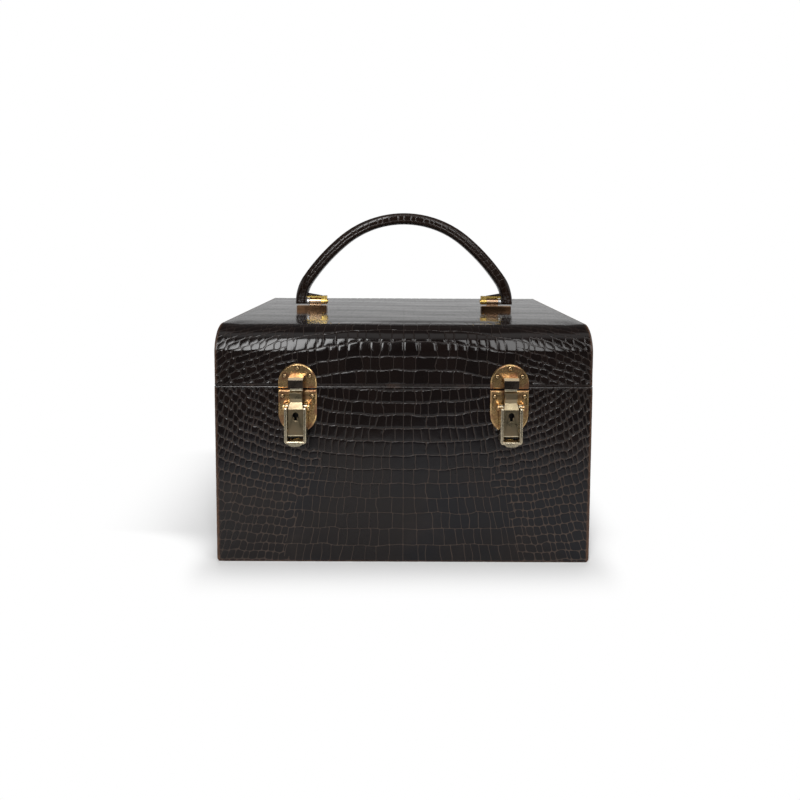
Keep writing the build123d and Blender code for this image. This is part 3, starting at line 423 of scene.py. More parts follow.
@dataclass(frozen=True)
class SmoothLeather(Finish):
    """Plain glazed leather with fine creases, as on bindings and the handle's lining."""

    worn: Colour = (0.045, 0.026, 0.018)
    rough: float = 0.30

    def dress(self, sheet: NodeSheet, surface: bpy.types.Node) -> None:
        """Wire creases, pores and rubbed patches."""
        point = self.place(sheet)
        crease = sheet.noise(point, 520.0, 4.0, 0.65)
        grain = sheet.noise(point, 2100.0, 2.0, 0.6)
        patch = sheet.noise(point, 60.0, 4.0, 0.6)
        sheet.feed(surface, {
            "Base Color": sheet.tint(patch.ramp(0.5, 0.78), self.base, self.worn),
            "Roughness": crease.ramp(0.3, 0.7, self.rough - 0.06, self.rough + 0.12),
            "Coat Weight": 0.25,
            "Coat Roughness": 0.12,
        })
        self.relief(sheet, surface, crease + grain * 0.4, 0.00006)


@dataclass(frozen=True)
class CutEdge(Finish):
    """The raw edge of a leather panel: brown, fibrous and dry."""

    fibre: Colour = (0.17, 0.080, 0.040)

    def dress(self, sheet: NodeSheet, surface: bpy.types.Node) -> None:
        """Wire the fibres."""
        fibres = sheet.noise(self.place(sheet), 900.0, 4.0, 0.7)
        patch = sheet.noise(self.place(sheet), 70.0, 3.0, 0.6)
        colour = sheet.tint(fibres * patch.ramp(0.35, 0.65, 0.3, 1.0), self.base, self.fibre)
        sheet.feed(surface, {"Base Color": colour, "Roughness": 0.62})
        self.relief(sheet, surface, fibres, 0.00012)


@dataclass(frozen=True)
class WornPlate(Finish):
    """Gilt brass whose plating has rubbed through in warmer patches.

    Rivets are given by their distance from the latch's middle and their height, and bands of painted
    highlight by their lower and upper height. From a given distance forwards the colour is a painted shade.
    """

    patch: Colour = (0.33, 0.16, 0.09)
    tarnish: Colour = (0.12, 0.062, 0.030)
    raised: Colour = (0.60, 0.48, 0.31)
    shade: Colour = (0.10, 0.080, 0.066)
    bright: Colour = (0.85, 0.76, 0.56)
    ring: Colour = (0.050, 0.026, 0.014)
    rough: float = 0.28
    patch_share: float = 0.6
    spotting: float = 0.3
    marks: float = 0.006
    painted_shade_from: float = 0.0
    raised_from: float = 117.2
    raised_fade: float = 0.4
    fade: float = 0.3
    ring_inside: float = 1.5
    ring_outside: float = 2.6
    rivets: tuple[tuple[float, float], ...] = ()
    painted_highlight_bands: tuple[tuple[float, float], ...] = ()

    def dress(self, sheet: NodeSheet, surface: bpy.types.Node) -> None:
        """Wire gilding, bare patches, tarnish and scratches."""
        point = self.place(sheet)
        broad = sheet.noise(point, 95.0, 3.0, 0.6)
        fine = sheet.noise(point, 330.0, 3.0, 0.6)
        stretch = {"Scale": (1.0, 1.0, 14.0), "Vector": point}
        drawn = sheet.read("ShaderNodeMapping", stretch, vector_type="POINT")
        scratch = sheet.noise(drawn, 700.0, 2.0, 0.6)
        spots = fine.ramp(0.58, 0.74)
        colour = sheet.tint(broad.ramp(0.42, 0.62) * self.patch_share, self.base, self.patch)
        colour = sheet.tint(spots * self.spotting, colour, self.tarnish)
        x, y, z = sheet.split(point)
        for off_centre, height in self.rivets:
            aside = abs(abs(x) - LATCH_X * MM) - off_centre * MM
            above = z - height * MM
            away = sheet.math("SQRT", aside * aside + above * above)
            ring = away.ramp(self.ring_inside * MM, self.ring_outside * MM, 0.95, 0.0)
            colour = sheet.tint(ring, colour, self.ring)
        # painted highlight: lighter bands at the given heights, standing for bright reflections
        for low, high in self.painted_highlight_bands:
            above_low = z.ramp(low * MM, (low + self.fade) * MM)
            below_high = z.ramp((high - self.fade) * MM, high * MM, 1.0, 0.0)
            colour = sheet.tint(above_low * below_high, colour, self.bright)
        if self.painted_shade_from:
            ahead = y * (-1.0 / MM)
            raised = ahead.ramp(self.raised_from, self.raised_from + self.raised_fade)
            colour = sheet.tint(raised, colour, self.raised)
            # painted shade: from the given distance forwards the colour goes to the shade colour, standing
            # for shade on the front faces
            colour = sheet.tint(ahead.ramp(self.painted_shade_from, self.painted_shade_from + self.fade), colour, self.shade)
        rough = broad.ramp(0.3, 0.7, self.rough - 0.05, self.rough + 0.09) + spots * (0.4 * self.spotting)
        sheet.feed(surface, {"Base Color": colour, "Metallic": 1.0, "Roughness": rough})
        self.relief(sheet, surface, scratch * 0.5 + fine * 0.5, self.marks * MM)


@dataclass(frozen=True)
class SilveredGlass(Finish):
    """A mirror with a few age spots in its silver."""

    spot: Colour = (0.34, 0.31, 0.27)

    def dress(self, sheet: NodeSheet, surface: bpy.types.Node) -> None:
        """Wire the silver and its specks."""
        specks = sheet.noise(self.place(sheet), 130.0, 5.0, 0.75).ramp(0.70, 0.80)
        colour = sheet.tint(specks, self.base, self.spot)
        rough = specks.ramp(0.0, 1.0, 0.03, 0.35)
        sheet.feed(surface, {"Base Color": colour, "Metallic": 1.0, "Roughness": rough})


@dataclass(frozen=True)
class MoireSilk(Finish):
    """Ribbed silk with a watered figure."""

    shade: Colour = (0.36, 0.245, 0.155)
    rib: float = 0.00055

    def dress(self, sheet: NodeSheet, surface: bpy.types.Node) -> None:
        """Wire the ribs and the watermark."""
        point = self.place(sheet)
        x, y, z = sheet.split(point)
        figure = sheet.noise(sheet.join(x, y * 0.35, z * 0.35), 150.0, 3.0)
        water = sheet.math("SINE", figure * 26.0).ramp(-0.9, 1.0)
        ribs = sheet.math("SINE", (x + y + z) * (2.0 * math.pi / self.rib))
        threads = sheet.noise(point, 2600.0)
        sheet.feed(surface, {
            "Base Color": sheet.tint(water * 0.45, self.base, self.shade),
            "Roughness": water.ramp(0.0, 1.0, 0.42, 0.62),
            "Sheen Weight": 0.25,
            "Sheen Roughness": 0.4,
        })
        self.relief(sheet, surface, ribs * 0.5 + threads, 0.00005)


@dataclass(frozen=True)
class PaperedBoard(Finish):
    """Board under thin paper, with its fibres showing."""

    def dress(self, sheet: NodeSheet, surface: bpy.types.Node) -> None:
        """Wire the fibres."""
        fibres = sheet.noise(self.place(sheet), 700.0, 4.0, 0.7)
        colour = sheet.tint(fibres.ramp(0.3, 0.7), self.darkened(0.7), self.base)
        sheet.feed(surface, {"Base Color": colour, "Roughness": 0.8})
        self.relief(sheet, surface, fibres, 0.00005)


@dataclass(frozen=True)
class Metal(Finish):
    """Plain bright metal with fine turning or rolling marks."""

    rough: float = 0.25

    def dress(self, sheet: NodeSheet, surface: bpy.types.Node) -> None:
        """Wire the marks."""
        marks = sheet.noise(self.place(sheet), 900.0, 3.0, 0.6)
        colour = sheet.tint(marks.ramp(0.5, 0.8), self.base, self.darkened(0.72))
        rough = marks.ramp(0.3, 0.7, self.rough, self.rough + 0.15)
        sheet.feed(surface, {"Base Color": colour, "Metallic": 1.0, "Roughness": rough})
        self.relief(sheet, surface, marks, 0.00002)


CROCODILE = CrocodileLeather("glazed_crocodile", (0.0050, 0.0030, 0.0026))
SATIN_HIDE = CrocodileLeather("satin_crocodile", (0.0050, 0.0030, 0.0026), gloss=0.27)
HANDLE_HIDE = CrocodileLeather(
    "glazed_handle", (0.0085, 0.0044, 0.0032), lift=(0.012, 0.0060, 0.0040), worn=(0.10, 0.052, 0.028),
    relief_depth=0.00009,
)
TRIM = SmoothLeather("glazed_trim", (0.013, 0.0085, 0.0072))
RAW_EDGE = CutEdge("cut_leather_edge", (0.022, 0.011, 0.007))
GILT_PLATE = WornPlate(
    "gilt_plate", (0.78, 0.52, 0.24), rough=0.27, patch_share=0.9, rivets=((12.0, 138.4), (0.0, 112.8))
)
# painted shade on the strike's hood front, from 124.6 mm ahead
GILT_STRIKE = WornPlate(
    "gilt_strike", (0.78, 0.52, 0.24), rough=0.25, patch_share=0.9, painted_shade_from=124.6,
    rivets=((10.0, 154.7), (0.0, 161.0)),
)
GILT_LEVER = WornPlate("gilt_lever", (0.64, 0.56, 0.40), rough=0.24, patch_share=0.10, spotting=0.1)
# painted shade and highlight: the hasp's darker gilt stands for shade on its face, and its bands are painted
# highlights
GILT_HASP = WornPlate(
    "gilt_hasp", (0.26, 0.215, 0.135), rough=0.30, patch_share=0.15, spotting=0.2,
    painted_highlight_bands=((107.8, 109.3), (143.6, 146.8)),
)
GILT_BARREL = WornPlate(
    "gilt_barrel", (0.66, 0.46, 0.13), rough=0.24, patch_share=0.10, spotting=0.0, marks=0.001
)
# painted shade on the base's front face, from 3.55 mm ahead
GILT_BASE = WornPlate(
    "gilt_base", (0.34, 0.235, 0.15), rough=0.17, patch_share=0.2, spotting=0.0, marks=0.0005,
    painted_shade_from=3.55, shade=(0.042, 0.023, 0.012),
)
RIVET_BRASS = WornPlate("rivet_brass", (0.80, 0.58, 0.32), rough=0.20, patch_share=0.3)
# painted shade: the lock case is near-black so that its keyhole reads as dark shade
STEEL_IN_PAINTED_SHADE = Metal("steel_in_painted_shade", (0.016, 0.015, 0.014), rough=0.5)
STEEL = Metal("plain_steel", (0.60, 0.60, 0.58))
NICKEL = Metal("nickel", (0.60, 0.61, 0.62), rough=0.25)
SILK = MoireSilk("moire_silk", (0.56, 0.40, 0.26))
TRAY_SILK = MoireSilk("tray_silk", (0.50, 0.35, 0.22))
BOARD = PaperedBoard("papered_board", (0.36, 0.27, 0.18))
MIRROR = SilveredGlass("silvered_glass", (0.86, 0.88, 0.88))


@dataclass(frozen=True)
class ScaleRelief:
    """Sinks the grooves between scales into a mesh, with the pattern its shading uses.

    The depth is that of the deepest grooves, in millimetres.
    """

    depth: float

    def group(self) -> bpy.types.NodeTree:
        """Make the node group, once for each depth.

        Returns:
            The group.
        """
        name = f"scale_relief_{round(1000 * self.depth)}"
        found = bpy.data.node_groups.get(name)
        if found is not None:
            return found
        tree = bpy.data.node_groups.new(name, "GeometryNodeTree")
        for way in ("INPUT", "OUTPUT"):
            tree.interface.new_socket("Geometry", in_out=way, socket_type="NodeSocketGeometry")
        sheet = NodeSheet(tree)
        place, pitch, lift = (
            sheet.read(
                "GeometryNodeInputNamedAttribute", {"Name": kind.value}, "Attribute", data_type="FLOAT_VECTOR"
            )
            for kind in (Hide.PLACE, Hide.PITCH, Hide.LIFT)
        )
        scales = ScaleField().grow(sheet, place, pitch)
        dome = scales.edge.ramp(0.0, 1.15) * 0.88
        crown = scales.edge.ramp(0.6, 5.5) * 0.12
        sunk = (dome + crown - 1.0) * scales.depth * (self.depth * MM)
        move = sheet.read("ShaderNodeVectorMath", {"Vector": lift, "Scale": sunk}, operation="SCALE")
        entry = sheet.read("NodeGroupInput", {})
        moved = sheet.read("GeometryNodeSetPosition", {"Geometry": entry, "Offset": move})
        sheet.add("NodeGroupOutput", {0: moved})
        return tree

    def press(self, obj: bpy.types.Object) -> None:
        """Add the relief to an object as a modifier."""
        obj.modifiers.new("scale_relief", "NODES").node_group = self.group()


def put_in_scene(name: str, data: bpy.types.ID) -> bpy.types.Object:
    """Make an object of some data and put it in the scene."""
    made = bpy.data.objects.new(name, data)
    bpy.context.collection.objects.link(made)
    return made


def mesh_object(
    name: str, points: Sequence[Sequence[float]], faces: list[list[int]], finish: Finish
) -> bpy.types.Object:
    """Make a smooth object from points and faces.

    Args:
        name: The piece's name.
        points: Its points in metres.
        faces: Its faces, as numbers of points.
        finish: What it is finished in.

    Returns:
        The new object.
    """
    mesh = bpy.data.meshes.new(name)
    mesh.from_pydata([tuple(point) for point in points], [], faces)
    mesh.validate()
    mesh.shade_smooth()
    mesh.materials.append(finish.material())
    return put_in_scene(name, mesh)


def write(mesh: bpy.types.Mesh, kind: Hide, values: np.ndarray) -> None:
    """Store a vector or a number for each point of a mesh."""
    form, part = ("FLOAT_VECTOR", "vector") if values.ndim == 2 else ("FLOAT", "value")
    mesh.attributes.new(kind.value, form, "POINT").data.foreach_set(part, values.astype(np.float32).ravel())


def settle(obj: bpy.types.Object, body: str, slot: str, *nodes: str) -> None:
    """Hand a piece to its body, and hide the nodes that it stands for.

    Args:
        obj: The piece.
        body: The body that it rides on.
        slot: The slot of the CAD piece. Not used.
        nodes: The nodes that it stands for.
    """
    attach(obj, body)
    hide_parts(*nodes)
    log.info("%s rides on %s and stands for %s", obj.name, body, ", ".join(nodes))


def grid_faces(number: np.ndarray) -> list[list[int]]:
    """Return a face for each cell of a grid of numbered points."""
    corners = (number[:-1, :-1], number[:-1, 1:], number[1:, 1:], number[1:, :-1])
    return np.stack(corners, axis=-1).reshape(-1, 4).tolist()


def tube_faces(rings: int, around: int) -> list[list[int]]:
    """Return the faces of a tube with closed ends, whose points are numbered ring by ring.

    Args:
        rings: How many rings it has.
        around: How many points each ring has.

    Returns:
        The faces of its side, then its two ends.
    """
    number = np.arange(rings * around).reshape(rings, around)
    side = grid_faces(np.pad(number, ((0, 0), (0, 1)), mode="wrap"))
    return side + [number[0, ::-1].tolist(), number[-1].tolist()]


def grid_rim(number: np.ndarray) -> np.ndarray:
    """Return a grid's outermost points in order, starting along its first row."""
    return np.concatenate([number[0], number[1:, -1], number[-1, -2::-1], number[-2:0:-1, 0]])


def wall_faces(rim: np.ndarray, under: np.ndarray) -> list[list[int]]:
    """Return the wall between a rim and the ring of points under it."""
    return np.stack([np.roll(rim, -1), rim, under, np.roll(under, -1)], axis=-1).tolist()


def spaced(start: float, end: float, step: float, edge: float = 1.0) -> np.ndarray:
    """Return places from start to end, closer together at both edges.

    Args:
        start: The first place.
        end: The last place.
        step: The longest step between.
        edge: How far in the closer places go.

    Returns:
        The places, in order.
    """
    near = edge * np.array([0.0, 0.04, 0.15, 0.32, 0.55, 0.78])
    middle = np.linspace(start + edge, end - edge, max(2, math.ceil((end - start - 2 * edge) / step) + 1))
    return np.concatenate([start + near, middle, (end - near)[::-1]])


def rounded(distance: np.ndarray, radius: float) -> np.ndarray:
    """Return how far a rounded edge has fallen away at a distance from it."""
    inside = np.clip(radius - distance, 0.0, radius)
    return radius - np.sqrt(np.maximum(radius**2 - inside**2, 0.0))


def covered(distance: np.ndarray, length: float) -> np.ndarray:
    """Return how much of a length a distance covers, from 0 to 1."""
    return np.clip(distance / length, 0.0, 1.0)


def smoothed(share: np.ndarray) -> np.ndarray:
    """Return a share from 0 to 1 with its start and end eased."""
    return share**2 * (3 - 2 * share)


@dataclass
class HideGrid:
    """A leather panel as rows and columns of points, in millimetres.

    The outer face is a grid; the back is flat across each row, and a wall joins the two.
    """

    outer: np.ndarray
    back: np.ndarray
    lift: np.ndarray
    place: np.ndarray
    pitch: np.ndarray
    wear: np.ndarray
    satin: np.ndarray

    def flipped(self) -> HideGrid:
        """Return the panel with its columns in the other order, so that it faces the other way."""
        return HideGrid(*(getattr(self, part.name)[:, ::-1] for part in fields(self)))

    def back_faces(self, under: np.ndarray) -> list[list[int]]:
        """Return the back's strips, one for each row.

        Args:
            under: The numbers of the back's points, along its rim.

        Returns:
            The strips.
        """
        rows, columns, _ = self.outer.shape
        under = under.tolist()
        turn = columns + rows - 2
        right = under[columns - 1 : turn + 1]
        left = [under[0], *under[-2::-1]][:rows]
        strips = [[*under[:columns][::-1], left[1], right[1]]]
        for row in range(1, rows - 2):
            strips.append([right[row], left[row], left[row + 1], right[row + 1]])
        strips.append([*under[turn : turn + columns], right[rows - 2], left[rows - 2]][::-1])
        return strips

    def build(self, name: str, finish: Finish = CROCODILE) -> bpy.types.Object:
        """Make the panel's mesh.

        Args:
            name: The piece's name.
            finish: What its face is finished in.

        Returns:
            The new object.
        """
        rows, columns, _ = self.outer.shape
        number = np.arange(rows * columns).reshape(rows, columns)
        rim = grid_rim(number)
        under = rows * columns + np.arange(len(rim))
        face, wall = grid_faces(number), wall_faces(rim, under)
        points = np.concatenate([self.outer.reshape(-1, 3), self.back.reshape(-1, 3)[rim]]) * MM
        made = mesh_object(name, points.tolist(), face + wall + self.back_faces(under), finish)
        made.data.materials.append(RAW_EDGE.material())
        for polygon in made.data.polygons[len(face) : len(face) + len(wall)]:
            polygon.material_index = 1
        for kind, values in ((Hide.PLACE, self.place), (Hide.PITCH, self.pitch)):
            values = values.reshape(-1, 3)
            write(made.data, kind, np.concatenate([values, values[rim]]))
        write(made.data, Hide.LIFT, np.concatenate([self.lift.reshape(-1, 3), np.zeros((len(rim), 3))]))
        for kind, values in ((Hide.WEAR, self.wear), (Hide.SATIN, self.satin)):
            write(made.data, kind, np.concatenate([values.ravel(), np.ones(len(rim))]))
        return made


@dataclass(frozen=True)
class BellyCut:
    """How the hide lies on a panel whose middle is the animal's middle."""

    widest: float = 11.5
    narrowest: float = 6.2
    narrowing: float = 58.0
    fan: float = 0.45
    row_height: float = 14.5
    top_row_height: float = 8.0
    sag_top: float = 48.0
    sag_bottom: float = 3.0
    sag_power: float = 2.6
    sag_growth: float = 1.6
    flank_from: float = 92.0
    flank_from_top: float = 74.0
    half_width: float = 152.5
    first_row: float = 0.0

    def width(self, x: np.ndarray) -> np.ndarray:
        """Return the scales' width at a place across the panel."""
        fall = np.exp(-((np.abs(x) / self.narrowing) ** 1.6))
        return self.narrowest + (self.widest - self.narrowest) * fall

    def column(self, x: np.ndarray) -> np.ndarray:
        """Work out the columns that places across the panel are in.

        Args:
            x: The places.

        Returns:
            The columns, counted from the middle.
        """
        reach = np.linspace(0.0, self.half_width * 1.3, 600)
        width = self.width(reach)
        steps = np.diff(reach) * (1 / width[1:] + 1 / width[:-1]) / 2
        count = np.concatenate([[0.0], np.cumsum(steps)])
        return np.sign(x) * np.interp(np.abs(x), reach, count)

    def lay(self, x: np.ndarray, along: np.ndarray, length: float) -> tuple[np.ndarray, np.ndarray]:
        """Work out the place and pitch vectors.

        Args:
            x: Places across the panel.
            along: Places along the animal, from 0 to length.
            length: The panel's length.

        Returns:
            The place vectors and the pitch vectors.
        """
        share = covered(along, length)
        sag = self.sag_bottom + (self.sag_top - self.sag_bottom) * share**self.sag_growth
        bow = sag * (np.abs(x) / self.half_width) ** self.sag_power
        level = (along - bow) / length
        growth = (self.top_row_height - self.row_height) / self.row_height
        row = length / self.row_height * (level - growth * level * np.abs(level) / 2) + self.first_row
        slope_x = np.gradient(row, axis=1) / np.gradient(x, axis=1)
        slope_z = np.gradient(row, axis=0) / np.gradient(along, axis=0)
        high = 1.0 / np.hypot(slope_x, slope_z)
        spread = 1.0 + self.fan * share
        border = self.flank_from + (self.flank_from_top - self.flank_from) * share
        border = border + 5.0 * np.sin(along / 17.0) + 3.0 * np.sin(along / 7.0 + x / 40.0)
        place = np.stack([self.column(x) * spread, row, self.column(border) * spread], axis=-1)
        pitch = np.stack([self.width(x) / spread, high, 1.0 + 0 * x], axis=-1)
        return place, pitch


@dataclass(frozen=True)
class FlankCut:
    """How flank skin, whose scales are small and round, lies over a panel's end."""

    wide: float = 8.6
    high: float = 16.5
    lean: float = 0.0016
    depth: float = 0.45

    def lay(self, y: np.ndarray, z: np.ndarray, first_row: float) -> tuple[np.ndarray, np.ndarray]:
        """Work out the place and pitch vectors.

        Args:
            y: Places across the panel.
            z: Places up the panel.
            first_row: Which rows the panel has.

        Returns:
            The place vectors and the pitch vectors.
        """
        place = np.stack([y / self.wide, z / self.high + self.lean * y + first_row, 0 * y], axis=-1)
        pitch = np.stack([self.wide + 0 * y, self.high + 0 * y, self.depth + 0 * y], axis=-1)
        return place, pitch


@dataclass
class CaseBody:
    """The box: leather panels outside, silk and a padded floor inside."""

    half_width: float = 152.5
    panel_top: float = 144.7
    bottom_round: float = 3.0
    side_edge: float = 1.0
    front_edge: float = 0.45
    relief_depth: float = 0.34
    grid: float = 0.78
    side_grid: float = 0.975
    floor_top: float = 7.0
    pad_thick: float = 4.0
    pad_fringe: float = 0.8
    pad_columns: int = 96
    pad_rows: int = 72
    room_half_x: float = 144.0
    room_half_y: float = 106.5

    def face_panel(self, front: bool) -> bpy.types.Object:
        """Build the front or back panel.

        Args:
            front: Whether it is the front.

        Returns:
            The panel.
        """
        reach = self.half_width - LEATHER
        up = spaced(0.0, 1.0, self.grid / self.panel_top, 1.0 / self.panel_top)
        x, share = np.meshgrid(spaced(-reach, reach, self.grid), up)
        low = rounded(self.half_width - np.abs(x), self.bottom_round)
        z = low + share * (self.panel_top - low)
        gap = np.minimum(self.panel_top - z, z - low)
        inset = reach - np.abs(x)
        way = -1.0 if front else 1.0
        outer = np.stack([x, way * (HALF_DEPTH - rounded(gap, self.front_edge)), z], axis=-1)
        back = np.stack([x, 0 * x + way * (HALF_DEPTH - LEATHER), z], axis=-1)
        lift = np.zeros_like(outer)
        lift[..., 1] = way * covered(np.minimum(gap, inset), EDGE_FADE)
        cut = BellyCut() if front else BellyCut(first_row=31.0, sag_top=12.0, top_row_height=12.0, fan=0.1)
        place, pitch = cut.lay(x, z, self.panel_top)
        pitch[..., 2] = np.interp(z, (0.0, 55.0, 105.0, 145.0), (0.25, 0.35, 0.80, 0.95))
        satin = np.interp(z, (0.0, 60.0, 115.0, 145.0), (1.0, 0.85, 0.35, 0.15))
        side_wear = (1.0 - covered(inset, 1.3)) * np.interp(z, (0.0, 60.0, 145.0), (1.0, 0.55, 0.2))
        wear = np.maximum((1.0 - covered(z, 1.6)) * 0.5, side_wear)
        panel = HideGrid(outer, back, lift, place, pitch, wear, satin)
        if front:
            return panel.build("body_hide_front", SATIN_HIDE)
        return panel.flipped().build("body_hide_back", SATIN_HIDE)

    def side_panel(self, side: str) -> bpy.types.Object:
        """Build a side panel, which laps the ends of the front, back and bottom.

        Args:
            side: left or right.

        Returns:
            The panel.
        """
        way = -1.0 if side == "left" else 1.0
        inner_x = self.half_width - LEATHER
        radius = self.bottom_round
        curved = math.acos((radius - LEATHER) / radius) * radius
        straight = curved + spaced(0.0, self.panel_top - radius, self.side_grid)
        length = np.concatenate([np.linspace(0.0, curved, 6)[:-1], straight])
        y, run = np.meshgrid(spaced(-HALF_DEPTH, HALF_DEPTH, self.side_grid), length)
        angle = np.clip((curved - run) / radius, 0.0, None)
        x = np.where(run < curved, self.half_width - radius + radius * np.cos(angle), self.half_width)
        z = np.where(run < curved, radius * (1 - np.sin(angle)), radius + run - curved)
        inset = HALF_DEPTH - np.abs(y)
        gap = np.minimum(inset, self.panel_top - z)
        x = np.maximum(x - rounded(gap, self.side_edge), inner_x)
        outer = np.stack([way * x, y, z], axis=-1)
        back = np.stack([0 * x + way * inner_x, y, z], axis=-1)
        lift = np.zeros_like(outer)
        lift[..., 0] = way * covered(np.minimum(gap, run), EDGE_FADE)
        place, pitch = FlankCut().lay(y, z, 3.0 if side == "left" else 47.0)
        wear = (1.0 - covered(inset, 1.6)) * np.interp(z, (0.0, 60.0, 145.0), (1.0, 0.6, 0.25))
        wear = np.maximum(wear, 1.0 - covered(run, 4.5))
        satin = np.interp(z, (0.0, 145.0), (0.9, 0.4))
        panel = HideGrid(outer, back, lift, place, pitch, wear, satin)
        if side == "left":
            panel = panel.flipped()
        return panel.build(f"body_hide_{side}", SATIN_HIDE)

    def floor_cushion(self) -> bpy.types.Object:
        """Build the padded floor: a crowned silk cushion with a pulled-down edge.

        Returns:
            The cushion.
        """
        u, v = (np.linspace(-1.0, 1.0, count) for count in (self.pad_columns, self.pad_rows))
        u, v = (0.35 * np.sin(even * math.pi / 2) + 0.65 * even for even in (u, v))
        x, y = np.meshgrid(u * self.room_half_x, v * self.room_half_y)
        gap = np.minimum(self.room_half_x - np.abs(x), self.room_half_y - np.abs(y))
        puff = 1.0 - np.exp(-gap / 9.0)
        gathers = 0.18 * np.sin(x / 5.5) * np.sin(y / 6.5) * np.exp(-gap / 14.0)
        edge = covered(gap, self.pad_fringe)
        z = self.floor_top + self.pad_thick * (0.35 * np.sqrt(edge) + 0.65 * puff * edge) + gathers * edge
        z = np.minimum(z, self.floor_top + self.pad_thick)
        points = np.stack([x, y, z], axis=-1).reshape(-1, 3)
        number = np.arange(len(points)).reshape(self.pad_rows, self.pad_columns)
        rim = grid_rim(number)
        under = len(points) + np.arange(len(rim))
        low = points[rim] * (0.996, 0.996, 0.0) + (0.0, 0.0, self.floor_top)
        faces = grid_faces(number) + wall_faces(rim, under) + [under[::-1].tolist()]
        cushion = mesh_object("floor_cushion", (np.concatenate([points, low]) * MM).tolist(), faces, SILK)
        return cushion

    def build(self) -> None:
        """Build the body's own meshes and say what they stand for."""
        panels = {
            "body_leather_front": self.face_panel(True),
            "body_leather_back": self.face_panel(False),
            "body_leather_left": self.side_panel("left"),
            "body_leather_right": self.side_panel("right"),
        }
        for node, panel in panels.items():
            ScaleRelief(self.relief_depth).press(panel)
            settle(panel, "case", "crocodile_leather", node)
        settle(self.floor_cushion(), "case", "lining", "body_floor_pad")


@dataclass
class CaseLid:
    """The lid: one panel rolled from the front over the top, and two ends."""

    half_width: float = 152.2
    bottom: float = 147.7
    top: float = 194.0
    front_round: float = 22.0
    back_round: float = 6.0
    front_edge: float = 0.45
    end_edge: float = 1.0
    relief_depth: float = 0.36
    grid: float = 1.0
    front_ease: float = 1.1
    slack: float = 0.16

    def stretches(self) -> np.ndarray:
        """Return where the front, the roll, the top, the rear rounding and the back each end."""
        return np.cumsum([
            self.top - self.front_round - self.bottom,
            self.front_round * math.pi / 2,
            2 * HALF_DEPTH - self.front_round - self.back_round,
            self.back_round * math.pi / 2,
            self.top - self.back_round - self.bottom,
        ])

    def drawn_in(self, x: np.ndarray, run: np.ndarray) -> np.ndarray:
        """Work out how far the leather has been drawn in from the lid's true outline.

        Args:
            x: Places across the lid.
            run: Distances along the outline.

        Returns:
            The distances, which are greatest where the top rolls over to the front.
        """
        past_roll = run - self.stretches()[1]
        ease = smoothed(covered(20.0 - past_roll, 26.0)) * (1 - smoothed(covered(-6.0 - past_roll, 26.0)))
        wander = 0.62 + 0.22 * np.sin(x / 26.0 + 0.8) + 0.16 * np.sin(x / 11.5 + 2.0)
        on_top = covered(past_roll + 4.0, 12.0)
        base = np.exp(-(((np.abs(x) - 90.0) / 22.0) ** 4) - (((past_roll - 93.0) / 22.0) ** 4))
        streak = np.sin(past_roll / 8.5 + 1.7 * np.sin(x / 52.0 + 0.4) + 0.6 * np.sin(x / 19.0))
        streak = 0.5 + 0.35 * streak + 0.15 * np.sin(past_roll / 3.7 + x / 40.0)
        back = covered(215.0 - past_roll, 20.0)
        depth = self.front_ease * ease * wander + self.slack * streak * on_top * (1 - base) * back
        return depth * smoothed(covered(self.half_width - 3.0 - np.abs(x), 14.0))

    def outline(self, run: np.ndarray) -> tuple[np.ndarray, np.ndarray, np.ndarray, np.ndarray]:
        """Follow the lid's outline from the front's lower edge over to the back's.

        Args:
            run: Distances along it.

        Returns:
            The places' y and z, and the y and z of the direction outwards.
        """
        rise, rolled, flat_end, rounded_end, _ = self.stretches()
        front = np.clip((run - rise) / self.front_round, 0.0, math.pi / 2)
        back = np.clip((run - flat_end) / self.back_round, 0.0, math.pi / 2)
        along = np.clip(run - rolled, 0.0, flat_end - rolled)
        y = -HALF_DEPTH + self.front_round * (1 - np.cos(front)) + along + self.back_round * np.sin(back)
        up = np.clip(run, 0.0, rise) + self.front_round * np.sin(front)
        down = np.clip(run - rounded_end, 0.0, None) + self.back_round * (1 - np.cos(back))
        tilt = front + back
        return y, self.bottom + up - down, -np.cos(tilt), np.sin(tilt)

    def wrap(self) -> bpy.types.Object:
        """Build the panel that wraps front, top and back.

        Returns:
            The panel.
        """
        reach = self.half_width - LEATHER
        _, rolled, _, _, total = self.stretches()
        fine_end, rear = rolled + 10.0, total - 55.0
        runs = np.concatenate([
            spaced(0.0, fine_end, 0.82)[:-6],
            np.linspace(fine_end, rear, 160)[1:-1],
            spaced(rear, total, 1.2)[6:],
        ])
        x, run = np.meshgrid(spaced(-reach, reach, self.grid), np.unique(np.round(runs, 5)))
        y, z, out_y, out_z = self.outline(run)
        gap = np.minimum(run, total - run)
        inset = reach - np.abs(x)
        fall = rounded(gap, self.front_edge) + self.drawn_in(x, run)
        outer = np.stack([x, y - out_y * fall, z - out_z * fall], axis=-1)
        back = np.stack([x, y - out_y * LEATHER, z - out_z * LEATHER], axis=-1)
        rim = covered(np.minimum(gap, inset), EDGE_FADE)
        lift = np.stack([0 * x, out_y * rim, out_z * rim], axis=-1)
        cut = BellyCut(
            widest=10.5, narrowest=6.8, fan=0.0, row_height=11.5, top_row_height=13.0, sag_top=-12.0,
            sag_bottom=-34.0, sag_power=2.3, flank_from=84.0, flank_from_top=84.0, first_row=61.0,
            half_width=self.half_width,
        )
        place, pitch = cut.lay(x, run, total)
        flank = covered(np.abs(x) - 62.0, 24.0)
        flank = flank * covered(run - 16.0, 12.0) * covered(total - 40.0 - run, 20.0)
        depth = np.interp(run, (0.0, 58.0, 66.0, total - 62.0, total - 50.0), (0.9, 0.6, 0.10, 0.10, 0.55))
        pitch[..., 2] = depth * (1.0 - 0.78 * flank)
        wear = (1.0 - covered(inset, 1.3)) * 0.3
        satin = np.interp(run, (0.0, total), (0.05, 0.12))
        return HideGrid(outer, back, lift, place, pitch, wear, satin).build("lid_hide_wrap")

